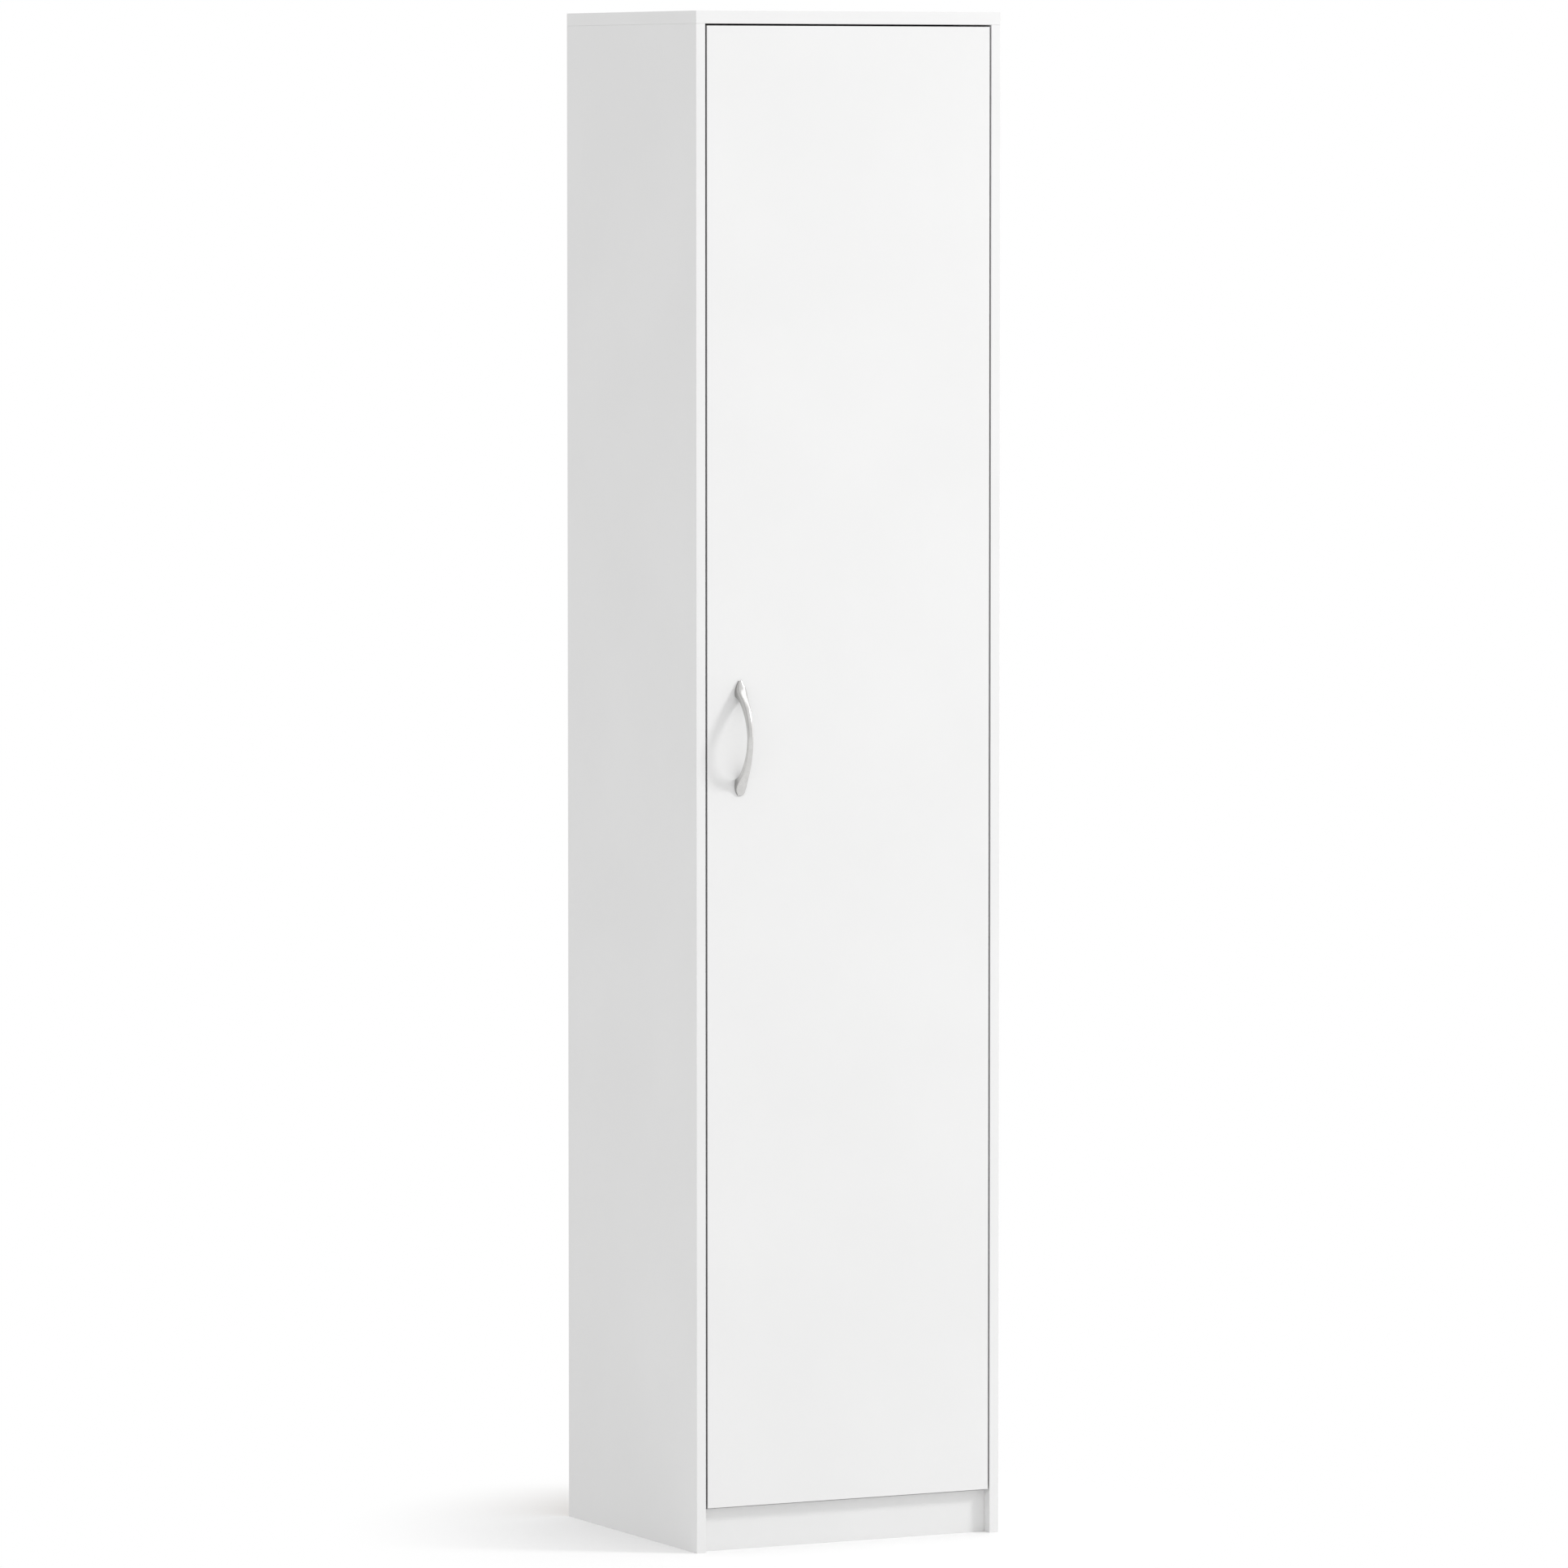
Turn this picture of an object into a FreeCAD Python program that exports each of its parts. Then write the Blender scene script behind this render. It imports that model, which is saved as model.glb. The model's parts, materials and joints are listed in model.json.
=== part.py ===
import FreeCAD, Part
import os
from FreeCAD import Vector

# A tall one-door broom cupboard, in millimetres.
# X runs to the right, Y to the back, Z up.
# The origin is on the floor, under the middle of the whole object with its handle.

# Driving dimensions of the boards
cabinet_width = 400.0
cabinet_depth = 350.0
cabinet_height = 1805.0
side_thickness = 12.0
top_thickness = 15.0
bottom_thickness = 12.0
shelf_thickness = 12.0
plinth_thickness = 12.0
plinth_height = 50.0
plinth_setback = 13.0
shelf_underside = 1420.0
shelf_setback = 20.0
edge_ease = 0.5

# Door, with an even gap to the side boards, the top and the plinth
door_thickness = 12.0
door_gap = 1.75

# Back sheet, held in a groove
back_thickness = 3.0
groove_depth = 5.0
groove_inset = 10.0
groove_play = 0.2
back_edge_play = 0.5

# Cam fittings
cam_diameter = 12.0
cam_depth = 10.0
cam_play = 0.05
cam_slot_length = 7.0
cam_slot_width = 1.4
cam_slot_depth = 2.0
bolt_reach = 24.0
bolt_thread_diameter = 4.9
bolt_thread_length = 8.0
bolt_thread_relief = 0.5
bolt_shank_diameter = 3.6
bolt_head_diameter = 4.8
bolt_play = 0.1
cam_inset = 55.0
cap_diameter = 14.0
cap_thickness = 0.8

# Dowels
dowel_diameter = 6.0
dowel_length = 24.0
dowel_face_depth = 8.0
dowel_end_play = 0.5
dowel_play = 0.05
dowel_inset = 95.0
plinth_cam_height = 18.0
plinth_dowel_height = 32.0

# Panel nails
nail_diameter = 1.6
nail_length = 18.0
nail_head_diameter = 4.0
nail_head_thickness = 0.8
nail_play = 0.05
nail_side_distance = 68.0

# Wall brackets under the top, with the wall screw hole in the upright leg
bracket_side_distance = 38.0
bracket_leg = 40.0
bracket_width = 18.0
bracket_thickness = 2.0
bracket_hole_drop = 24.0
wall_hole_diameter = 6.0
back_hole_diameter = 9.0
bracket_screw_first = 9.0
bracket_screw_pitch = 18.0

# Wood screws shared by brackets, hinge plates and stops
screw_diameter = 3.5
screw_head_diameter = 6.8
screw_head_thickness = 2.0
screw_depth = 10.0
screw_play = 0.05
screw_tip_play = 0.3

# Door stops on the free side
stop_width = 12.0
stop_length = 20.0
stop_height = 28.0
bumper_diameter = 8.0
bumper_thickness = 1.3
bumper_gap = 0.2

# Bow handle
handle_edge_distance = 42.0
handle_centre_height = 957.0
handle_length = 134.0
handle_projection = 30.0
handle_thickness = 4.5
handle_foot_length = 18.5
handle_foot_height = 2.6
handle_mid_width = 6.5
handle_flare_width = 13.0
handle_tip_width = 6.0
handle_screw_pitch = 112.0
handle_screw_diameter = 4.0
handle_screw_head_diameter = 8.0
handle_screw_head_thickness = 2.4
handle_screw_engagement = 4.5
handle_screw_play = 0.25
handle_thread_play = 0.05

# Concealed cup hinges
hinge_end_distance = 100.0
cup_diameter = 26.0
cup_depth = 10.2
cup_wall = 1.0
cup_floor = 0.9
cup_play = 0.05
cup_floor_play = 0.1
cup_edge_distance = 5.0
wing_reach = 24.0
wing_start = 8.0
wing_left = 9.0
wing_right = 6.0
wing_thickness = 1.2
wing_screw_reach = 19.0
wing_screw_offset = 5.5
wing_screw_depth = 8.0

# Four-bar linkage, from the cup's centre (X) and the door's rear face (Y)
outer_arm_pivot = Vector(-6.79, -7.0, 0)
outer_cup_pivot = Vector(4.29, -5.48, 0)
inner_arm_pivot = Vector(-0.24, -5.34, 0)
inner_cup_pivot = Vector(9.52, -7.2, 0)
bridge_place = Vector(1.15, -0.75, 0)
bridge_radius = 0.9
pin_diameter = 2.5
pin_press_play = 0.01
pin_run_play = 0.05
open_pivot_play = 0.15
knuckle_radius = 1.9
link_radius = 1.8

# Layers of the linkage across the hinge, from its middle plane outwards
layer_play = 0.2
inner_link_half = 2.0
leaf_thickness = 1.2

# Hinge arm and its mounting plate
arm_neck_left = -8.7
arm_neck_right = -4.15
arm_cross_start = 13.3
arm_cross_end = 19.3
arm_height = 13.0
arm_lip = 4.0
arm_end = 58.0
arm_web = 1.2
plate_base = 2.0
plate_start = 24.0
plate_end = 56.0
plate_half_width = 8.0
plate_wing_start = 31.0
plate_wing_end = 43.0
plate_wing_reach = 22.0
plate_screw_reach = 16.0
arm_screw_first = 31.0
arm_screw_pitch = 16.0
arm_screw_diameter = 4.0
arm_screw_head_diameter = 6.8
arm_screw_head_thickness = 1.6
arm_screw_depth = 7.0
arm_screw_play = 0.05
spring_thickness = 0.6
spring_half_width = 2.5
spring_start = -1.0
spring_end = 16.0

# Places that follow from the sizes above
half_width = cabinet_width / 2
overall_depth = cabinet_depth + handle_projection
front_y = handle_projection - overall_depth / 2
rear_y = front_y + cabinet_depth
side_height = cabinet_height - top_thickness
inner_x = half_width - side_thickness
bracket_x = inner_x - bracket_side_distance
nail_x = inner_x - nail_side_distance
door_rear_y = front_y + door_thickness
plinth_front_y = front_y + plinth_setback
plinth_rear_y = plinth_front_y + plinth_thickness
bottom_underside = plinth_height - bottom_thickness
shelf_front_y = door_rear_y + shelf_setback
groove_rear_y = rear_y - groove_inset
back_rear_y = groove_rear_y - groove_play
back_front_y = back_rear_y - back_thickness
groove_front_y = back_front_y - groove_play
door_left = -inner_x + door_gap
door_right = inner_x - door_gap
door_bottom = plinth_height + door_gap
door_top = side_height - door_gap
cam_front_y = shelf_front_y + cam_inset
cam_rear_y = back_front_y - cam_inset
dowel_front_y = shelf_front_y + dowel_inset
dowel_rear_y = back_front_y - dowel_inset
handle_x = door_left + handle_edge_distance
hinge_heights = {
    "bottom": door_bottom + hinge_end_distance,
    "middle": (door_bottom + door_top) / 2,
    "top": door_top - hinge_end_distance,
}
cup_radius = cup_diameter / 2
cup_inside = cup_radius - cup_wall
cup_centre_x = door_right - cup_edge_distance - cup_radius

# Inner and outer faces of each hinge layer
lug_in = inner_link_half + layer_play
lug_out = lug_in + leaf_thickness
arm_in = lug_out + layer_play
arm_out = arm_in + leaf_thickness
outer_in = arm_out + layer_play
outer_out = outer_in + leaf_thickness
cheek_in = outer_out + layer_play
cheek_out = cheek_in + leaf_thickness
ridge_half = arm_in - layer_play


def box(x0, x1, y0, y1, z0, z1):
    """A block between two opposite corners."""
    return Part.makeBox(x1 - x0, y1 - y0, z1 - z0, Vector(x0, y0, z0))


def board(x0, x1, y0, y1, z0, z1):
    """A block with its edges eased, as a banded board has."""
    block = box(x0, x1, y0, y1, z0, z1)
    return block.makeChamfer(edge_ease, block.Edges)


def rod(start, direction, diameter, length):
    """A round bar from a point along a direction."""
    return Part.makeCylinder(diameter / 2, length, start, direction)


def join(shapes):
    """One solid from several that touch or overlap."""
    whole = shapes[0].fuse(shapes[1:])
    return whole.removeSplitter()


def cut_all(shape, cutters):
    """A shape less every cutter in a list."""
    if not cutters:
        return shape
    return shape.cut(Part.makeCompound(cutters))


def prism(corners, z0, z1):
    """A polygon in the XY plane, drawn out between two heights."""
    ring = [Vector(x, y, z0) for x, y in corners]
    face = Part.Face(Part.makePolygon(ring + [ring[0]]))
    return face.extrude(Vector(0, 0, z1 - z0))


def strap(first, second, radius, z0, z1):
    """A flat link with a round end at each of two points."""
    along = (second - first).normalize()
    side = Vector(-along.y, along.x, 0) * radius
    corners = [first + side, first - side, second - side, second + side]
    bar = prism([(p.x, p.y) for p in corners], z0, z1)
    up = Vector(0, 0, 1)
    ends = [rod(Vector(p.x, p.y, z0), up, 2 * radius, z1 - z0) for p in (first, second)]
    return join([bar] + ends)


def layer(sign, near, far):
    """The two heights of a layer on one side of the middle plane."""
    return min(sign * near, sign * far), max(sign * near, sign * far)


def export(name, solids):
    """Write one node, as one solid or as a group of separate ones."""
    if not isinstance(solids, list):
        solids = [solids]
    shape = solids[0] if len(solids) == 1 else Part.makeCompound(solids)
    shape.exportStep("parts/" + name + ".step")


def wood_screw(seat, inward, depth):
    """A screw whose head sits on a face and whose shank goes in from there."""
    head = rod(seat - inward * screw_head_thickness, inward, screw_head_diameter, screw_head_thickness)
    shank = rod(seat, inward, screw_diameter, depth)
    return join([head, shank])


def screw_hole(seat, inward, depth):
    """The hole for a wood screw, a little wider and deeper than its shank."""
    return rod(seat, inward, screw_diameter + 2 * screw_play, depth + screw_tip_play)


def cam_joint(point, into, face, thickness):
    """A cam, its bolt, and what they cut from the drilled board and from the board with the cam."""
    centre = point + into * bolt_reach
    rim = centre + face * (thickness / 2)
    cam = rod(rim - face * cam_depth, face, cam_diameter, cam_depth)
    passage_diameter = bolt_head_diameter + 2 * bolt_play
    passage_start = centre + into * (passage_diameter / 2)
    passage = rod(passage_start, into * -1, passage_diameter, bolt_reach)
    across = into.cross(face)
    slots = [slot_cutter(rim, face, across), slot_cutter(rim, face, into)]
    cam = cut_all(cam, [passage] + slots)
    thread = rod(point - into * bolt_thread_length, into, bolt_thread_diameter, bolt_thread_length)
    shank = rod(point, into, bolt_shank_diameter, bolt_reach)
    bolt = join([thread, shank, Part.makeSphere(bolt_head_diameter / 2, centre)])
    hole_length = bolt_thread_length + bolt_thread_relief
    face_cut = rod(point - into * hole_length, into, bolt_thread_diameter + 2 * bolt_play, hole_length)
    pocket_depth = cam_depth + cam_play
    pocket = rod(rim - face * pocket_depth, face, cam_diameter + 2 * cam_play, pocket_depth)
    bore = rod(point, into, passage_diameter, bolt_reach)
    return {"cam": cam, "bolt": bolt, "face": face_cut, "end": pocket.fuse(bore), "rim": rim}


def slot_cutter(rim, face, along):
    """One bar of the cross slot in a cam's face."""
    across = face.cross(along)
    corner = rim - along * (cam_slot_length / 2) - across * (cam_slot_width / 2) - face * cam_slot_depth
    ring = [
        corner,
        corner + along * cam_slot_length,
        corner + along * cam_slot_length + across * cam_slot_width,
        corner + across * cam_slot_width,
    ]
    return Part.Face(Part.makePolygon(ring + [ring[0]])).extrude(face * cam_slot_depth)


def dowel_joint(point, into):
    """A dowel across a joint, and the blind hole on each side of it."""
    out_of = into * -1
    start = point - into * (dowel_face_depth - dowel_end_play)
    dowel = rod(start, into, dowel_diameter, dowel_length)
    hole_diameter = dowel_diameter + 2 * dowel_play
    end_depth = dowel_length - dowel_face_depth + 2 * dowel_end_play
    face_cut = rod(point, out_of, hole_diameter, dowel_face_depth)
    end_cut = rod(point, into, hole_diameter, end_depth)
    return {"dowel": dowel, "face": face_cut, "end": end_cut}


cams = []
bolts = []
dowels = []
caps = []
cuts = {"left": [], "right": [], "top": [], "bottom": [], "shelf": [], "plinth": [], "back": [], "door": []}


def add_cam(face_board, end_board, point, into, face, thickness):
    """Place one cam fitting and remember what it cuts."""
    fitting = cam_joint(point, into, face, thickness)
    cams.append(fitting["cam"])
    bolts.append(fitting["bolt"])
    cuts[face_board].append(fitting["face"])
    cuts[end_board].append(fitting["end"])
    return fitting["rim"]


def add_dowel(face_board, end_board, point, into):
    """Place one dowel and remember what it cuts."""
    fitting = dowel_joint(point, into)
    dowels.append(fitting["dowel"])
    cuts[face_board].append(fitting["face"])
    cuts[end_board].append(fitting["end"])


def fit_corner_joints():
    """Cams and dowels between the side boards and everything they carry."""
    down = Vector(0, 0, -1)
    bottom_middle = bottom_underside + bottom_thickness / 2
    shelf_middle = shelf_underside + shelf_thickness / 2
    plinth_middle_y = plinth_front_y + plinth_thickness / 2
    for side, sign in (("left", -1), ("right", 1)):
        inward = Vector(-sign, 0, 0)
        side_middle = sign * (half_width - side_thickness / 2)
        for y in (cam_front_y, cam_rear_y):
            rim = add_cam("top", side, Vector(side_middle, y, side_height), down, inward, side_thickness)
            caps.append(rod(rim, inward, cap_diameter, cap_thickness))
            add_cam(side, "bottom", Vector(sign * inner_x, y, bottom_middle), inward, down, bottom_thickness)
            add_cam(side, "shelf", Vector(sign * inner_x, y, shelf_middle), inward, down, shelf_thickness)
        for y in (dowel_front_y, dowel_rear_y):
            add_dowel("top", side, Vector(side_middle, y, side_height), down)
            add_dowel(side, "bottom", Vector(sign * inner_x, y, bottom_middle), inward)
            add_dowel(side, "shelf", Vector(sign * inner_x, y, shelf_middle), inward)
        cam_point = Vector(sign * inner_x, plinth_middle_y, plinth_cam_height)
        add_cam(side, "plinth", cam_point, inward, Vector(0, 1, 0), plinth_thickness)
        add_dowel(side, "plinth", Vector(sign * inner_x, plinth_middle_y, plinth_dowel_height), inward)


def make_nails():
    """Nails through the back sheet into the rear edges of the bottom and the shelf."""
    forward = Vector(0, -1, 0)
    rows = {
        "bottom": bottom_underside + bottom_thickness / 2,
        "shelf": shelf_underside + shelf_thickness / 2,
    }
    nails = []
    for board, height in rows.items():
        for step in (-1, 0, 1):
            seat = Vector(step * nail_x, back_rear_y, height)
            head = rod(seat - forward * nail_head_thickness, forward, nail_head_diameter, nail_head_thickness)
            nails.append(join([head, rod(seat, forward, nail_diameter, nail_length)]))
            hole = rod(seat, forward, nail_diameter + 2 * nail_play, nail_length + nail_play)
            cuts["back"].append(hole)
            cuts[board].append(hole)
    return nails


def make_wall_brackets():
    """Angle brackets under the top, each with two screws and one hole for a wall screw."""
    brackets = []
    screws = []
    for sign in (-1, 1):
        x = sign * bracket_x
        x0 = x - bracket_width / 2
        x1 = x + bracket_width / 2
        flat_z = side_height - bracket_thickness
        flat = box(x0, x1, back_front_y - bracket_leg, back_front_y, flat_z, side_height)
        upright_z = side_height - bracket_leg
        upright = box(x0, x1, back_front_y - bracket_thickness, back_front_y, upright_z, side_height)
        hole_z = side_height - bracket_hole_drop
        hole_length = rear_y - back_front_y + 2 * bracket_thickness
        wall_hole = rod(Vector(x, rear_y, hole_z), Vector(0, -1, 0), wall_hole_diameter, hole_length)
        cuts["back"].append(rod(Vector(x, rear_y, hole_z), Vector(0, -1, 0), back_hole_diameter,
                                rear_y - back_front_y))
        up = Vector(0, 0, 1)
        holes = [wall_hole]
        for step in (0, 1):
            y = back_front_y - bracket_leg + bracket_screw_first + step * bracket_screw_pitch
            seat = Vector(x, y, flat_z)
            screws.append(wood_screw(seat, up, bracket_thickness + screw_depth))
            hole = screw_hole(seat, up, bracket_thickness + screw_depth)
            holes.append(hole)
            cuts["top"].append(hole)
        brackets.append(cut_all(join([flat, upright]), holes))
    return brackets, screws


def make_door_stops():
    """Stop blocks on the free side, level with the end hinges, each with a soft bumper and a screw."""
    blocks = []
    bumpers = []
    screws = []
    block_front = door_rear_y + bumper_gap + bumper_thickness
    back = Vector(0, 1, 0)
    left = Vector(-1, 0, 0)
    for place in ("bottom", "top"):
        z = hinge_heights[place]
        block = box(-inner_x, -inner_x + stop_width, block_front, block_front + stop_length,
                    z - stop_height / 2, z + stop_height / 2)
        seat = Vector(-inner_x + stop_width, block_front + stop_length / 2, z)
        hole = screw_hole(seat, left, stop_width + screw_depth)
        blocks.append(block.cut(hole))
        cuts["left"].append(hole)
        screws.append(wood_screw(seat, left, stop_width + screw_depth))
        pad_centre = Vector(-inner_x + stop_width / 2, door_rear_y + bumper_gap, z)
        bumpers.append(rod(pad_centre, back, bumper_diameter, bumper_thickness))
    return blocks, bumpers, screws


def spline(points):
    """A smooth curve through a few points."""
    curve = Part.BSplineCurve()
    curve.interpolate(points)
    return curve.toShape()


def make_handle():
    """A bow handle: its side outline and its front outline, both drawn through and crossed."""
    half = handle_length / 2
    foot = half - handle_foot_length
    rise = handle_projection - handle_foot_height
    inner_rise = handle_projection - handle_thickness
    door_face = front_y
    wide = handle_flare_width

    def side_point(z, out):
        return Vector(handle_x - wide, door_face - out, handle_centre_height + z)

    outer_shape = ((0.3, 0.905), (0.6, 0.585), (0.85, 0.145))
    inner_shape = ((0.41, 0.84), (0.82, 0.43))
    outer = [side_point(-half, handle_foot_height)]
    outer += [side_point(-half * s, handle_foot_height + rise * t) for s, t in reversed(outer_shape)]
    outer += [side_point(0, handle_projection)]
    outer += [side_point(half * s, handle_foot_height + rise * t) for s, t in outer_shape]
    outer += [side_point(half, handle_foot_height)]
    inner = [side_point(foot, 0)]
    inner += [side_point(foot * s, inner_rise * t) for s, t in reversed(inner_shape)]
    inner += [side_point(0, inner_rise)]
    inner += [side_point(-foot * s, inner_rise * t) for s, t in inner_shape]
    inner += [side_point(-foot, 0)]
    edges = [
        spline(outer),
        Part.makeLine(side_point(half, handle_foot_height), side_point(half, 0)),
        Part.makeLine(side_point(half, 0), side_point(foot, 0)),
        spline(inner),
        Part.makeLine(side_point(-foot, 0), side_point(-half, 0)),
        Part.makeLine(side_point(-half, 0), side_point(-half, handle_foot_height)),
    ]
    side_face = Part.Face(Part.Wire(edges))
    bow = side_face.extrude(Vector(2 * wide, 0, 0))

    def front_point(across, z):
        return Vector(handle_x + across, door_face, handle_centre_height + z)

    mid = handle_mid_width / 2
    tip = handle_tip_width / 2
    flare = handle_flare_width / 2
    widest = handle_screw_pitch / 2
    flank = ((-half, tip), (-widest, flare), (-0.5 * half, mid * 1.1), (0, mid),
             (0.5 * half, mid * 1.1), (widest, flare), (half, tip))
    right_edge = spline([front_point(across, z) for z, across in flank])
    left_edge = spline([front_point(-across, z) for z, across in reversed(flank)])
    top_edge = Part.makeLine(front_point(tip, half), front_point(-tip, half))
    bottom_edge = Part.makeLine(front_point(-tip, -half), front_point(tip, -half))
    front_face = Part.Face(Part.Wire([right_edge, top_edge, left_edge, bottom_edge]))
    plan = front_face.extrude(Vector(0, -2 * handle_projection, 0))
    return bow.common(plan)


def make_handle_and_screws():
    """The handle with its two screws, put in from behind the door."""
    screws = []
    holes = []
    forward = Vector(0, -1, 0)
    for sign in (-1, 1):
        z = handle_centre_height + sign * handle_screw_pitch / 2
        seat = Vector(handle_x, door_rear_y, z)
        head = rod(seat - forward * handle_screw_head_thickness, forward,
                   handle_screw_head_diameter, handle_screw_head_thickness)
        reach = door_thickness + handle_screw_engagement
        screws.append(join([head, rod(seat, forward, handle_screw_diameter, reach)]))
        cuts["door"].append(rod(seat, forward, handle_screw_diameter + 2 * handle_screw_play, door_thickness))
        thread = Vector(handle_x, front_y, z)
        holes.append(rod(thread, forward, handle_screw_diameter + 2 * handle_thread_play,
                         handle_screw_engagement + handle_thread_play))
    return cut_all(make_handle(), holes), screws


def at_hinge(point, z):
    """A point of the linkage, moved to its hinge."""
    return Vector(cup_centre_x + point.x, door_rear_y + point.y, z)


def pin(point, z, low, high):
    """A pivot pin between two levels beside the hinge's middle plane."""
    return rod(at_hinge(point, z + low), Vector(0, 0, 1), pin_diameter, high - low)


def pin_hole(point, z, low, high, play):
    """The hole for a pivot pin, with its clearance."""
    return rod(at_hinge(point, z + low), Vector(0, 0, 1), pin_diameter + 2 * play, high - low)


def make_cup(z):
    """The cup let into the door, with its two wings and the lugs that hold the cup pins."""
    forward = Vector(0, -1, 0)
    mouth = at_hinge(Vector(0, 0, 0), z)
    shell = rod(mouth, forward, cup_diameter - 2 * cup_play, cup_depth)
    shell = shell.cut(rod(mouth, forward, 2 * cup_inside, cup_depth - cup_floor))
    floor_y = door_rear_y - cup_depth + cup_floor / 2
    pieces = [shell]
    for sign in (-1, 1):
        wing_low, wing_high = layer(sign, wing_start, wing_reach)
        wing = box(mouth.x - wing_left, mouth.x + wing_right, door_rear_y, door_rear_y + wing_thickness,
                   z + wing_low, z + wing_high)
        wing_root = box(mouth.x - wing_left, mouth.x + wing_right, door_rear_y - cup_floor, door_rear_y,
                        z + wing_low, z + wing_high)
        rim = rod(mouth, forward, cup_diameter - 2 * cup_play, cup_depth).common(wing_root)
        pieces += [wing.cut(rod(mouth + Vector(0, wing_thickness, 0), forward, 2 * cup_inside, wing_thickness)),
                   rim.cut(rod(mouth, forward, 2 * cup_inside, cup_depth - cup_floor))]
        lug_low, lug_high = layer(sign, lug_in, lug_out)
        pieces.append(make_lug(inner_cup_pivot, z, lug_low, lug_high, floor_y))
        cheek_low, cheek_high = layer(sign, cheek_in, cheek_out)
        pieces.append(make_lug(outer_cup_pivot, z, cheek_low, cheek_high, floor_y))
    cup = join(pieces)
    holes = [pin_hole(inner_cup_pivot, z, -lug_out, lug_out, pin_press_play)]
    for sign in (-1, 1):
        low, high = layer(sign, outer_in, cheek_out)
        holes.append(pin_hole(outer_cup_pivot, z, low, high, pin_press_play))
        seat = at_hinge(Vector(-wing_screw_offset, wing_thickness, 0), z + sign * wing_screw_reach)
        holes.append(screw_hole(seat, forward, wing_thickness + wing_screw_depth))
    return cut_all(cup, holes)


def make_lug(pivot, z, low, high, floor_y):
    """A lug that stands on the cup's floor and carries one end of a pin."""
    place = at_hinge(pivot, z + low)
    post = box(place.x - link_radius, place.x + link_radius, floor_y, place.y, z + low, z + high)
    head = rod(place, Vector(0, 0, 1), 2 * link_radius, high - low)
    mouth = at_hinge(Vector(0, 0, 0), z)
    inside = rod(mouth, Vector(0, -1, 0), cup_diameter - cup_wall, cup_depth - cup_floor / 3)
    return join([post, head]).common(inside)


def make_arm(z):
    """The cranked arm: two cheeks with the arm pins, and a web round the outside of the bend."""
    centre = cup_centre_x
    left = centre + arm_neck_left
    right = centre + arm_neck_right
    rear_left = inner_x - arm_height
    rear_right = inner_x - arm_lip
    y = door_rear_y
    neck_foot = y + outer_arm_pivot.y
    outline = [
        (left, neck_foot), (right, neck_foot), (right, y + arm_cross_start), (rear_right, y + arm_cross_start),
        (rear_right, y + arm_end), (rear_left, y + arm_end), (rear_left, y + arm_cross_end),
        (left, y + arm_cross_end),
    ]
    web_foot = y + spring_start
    web_bend = y + arm_cross_end - arm_web
    web = [
        (left, web_foot), (left + arm_web, web_foot), (left + arm_web, web_bend),
        (rear_left + arm_web, web_bend), (rear_left + arm_web, y + arm_end),
        (rear_left, y + arm_end), (rear_left, y + arm_cross_end), (left, y + arm_cross_end),
    ]
    pieces = [prism(web, z - arm_out, z + arm_out)]
    knuckles = [at_hinge(outer_arm_pivot, 0), at_hinge(inner_arm_pivot, 0)]
    for sign in (-1, 1):
        low, high = layer(sign, arm_in, arm_out)
        pieces.append(prism(outline, z + low, z + high))
        pieces.append(strap(knuckles[0], knuckles[1], knuckle_radius, z + low, z + high))
    holes = [pin_hole(inner_arm_pivot, z, -arm_out, arm_out, pin_press_play)]
    for sign in (-1, 1):
        low, high = layer(sign, arm_in, outer_out)
        holes.append(pin_hole(outer_arm_pivot, z, low, high, pin_press_play))
    for step in (0, 1):
        seat = arm_screw_seat(z, step)
        holes.append(rod(seat, Vector(1, 0, 0), arm_screw_diameter + 2 * arm_screw_play, arm_web))
    return cut_all(join(pieces), holes)


def arm_screw_seat(z, step):
    """Where an arm screw's head sits on the arm."""
    return Vector(inner_x - arm_height, door_rear_y + arm_screw_first + step * arm_screw_pitch, z)


def make_arm_screws(z):
    """Two screws that hold the arm on the mounting plate."""
    right = Vector(1, 0, 0)
    screws = []
    for step in (0, 1):
        seat = arm_screw_seat(z, step)
        crown = seat - right * arm_screw_head_thickness
        head = rod(crown, right, arm_screw_head_diameter, arm_screw_head_thickness)
        shank = rod(seat, right, arm_screw_diameter, arm_web + arm_screw_depth)
        screws.append(join([head, shank]))
    return screws


def make_plate(z):
    """The cross-shaped mounting plate on the side board, with the ridge that the arm sits on."""
    y = door_rear_y
    foot = box(inner_x - plate_base, inner_x, y + plate_start, y + plate_end,
               z - plate_half_width, z + plate_half_width)
    wings = box(inner_x - plate_base, inner_x, y + plate_wing_start, y + plate_wing_end,
                z - plate_wing_reach, z + plate_wing_reach)
    ridge_top = inner_x - arm_height + arm_web
    ridge = box(ridge_top, inner_x - plate_base, y + plate_start, y + plate_end, z - ridge_half, z + ridge_half)
    right = Vector(1, 0, 0)
    holes = []
    for step in (0, 1):
        start = arm_screw_seat(z, step) + right * arm_web
        hole_depth = arm_screw_depth + screw_tip_play
        holes.append(rod(start, right, arm_screw_diameter + 2 * arm_screw_play, hole_depth))
    for sign in (-1, 1):
        holes.append(screw_hole(plate_screw_seat(z, sign), right, plate_base + screw_depth))
    return cut_all(join([foot, wings, ridge]), holes)


def plate_screw_seat(z, sign):
    """Where a plate screw's head sits on the plate."""
    middle_y = door_rear_y + (plate_wing_start + plate_wing_end) / 2
    return Vector(inner_x - plate_base, middle_y, z + sign * plate_screw_reach)


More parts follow.
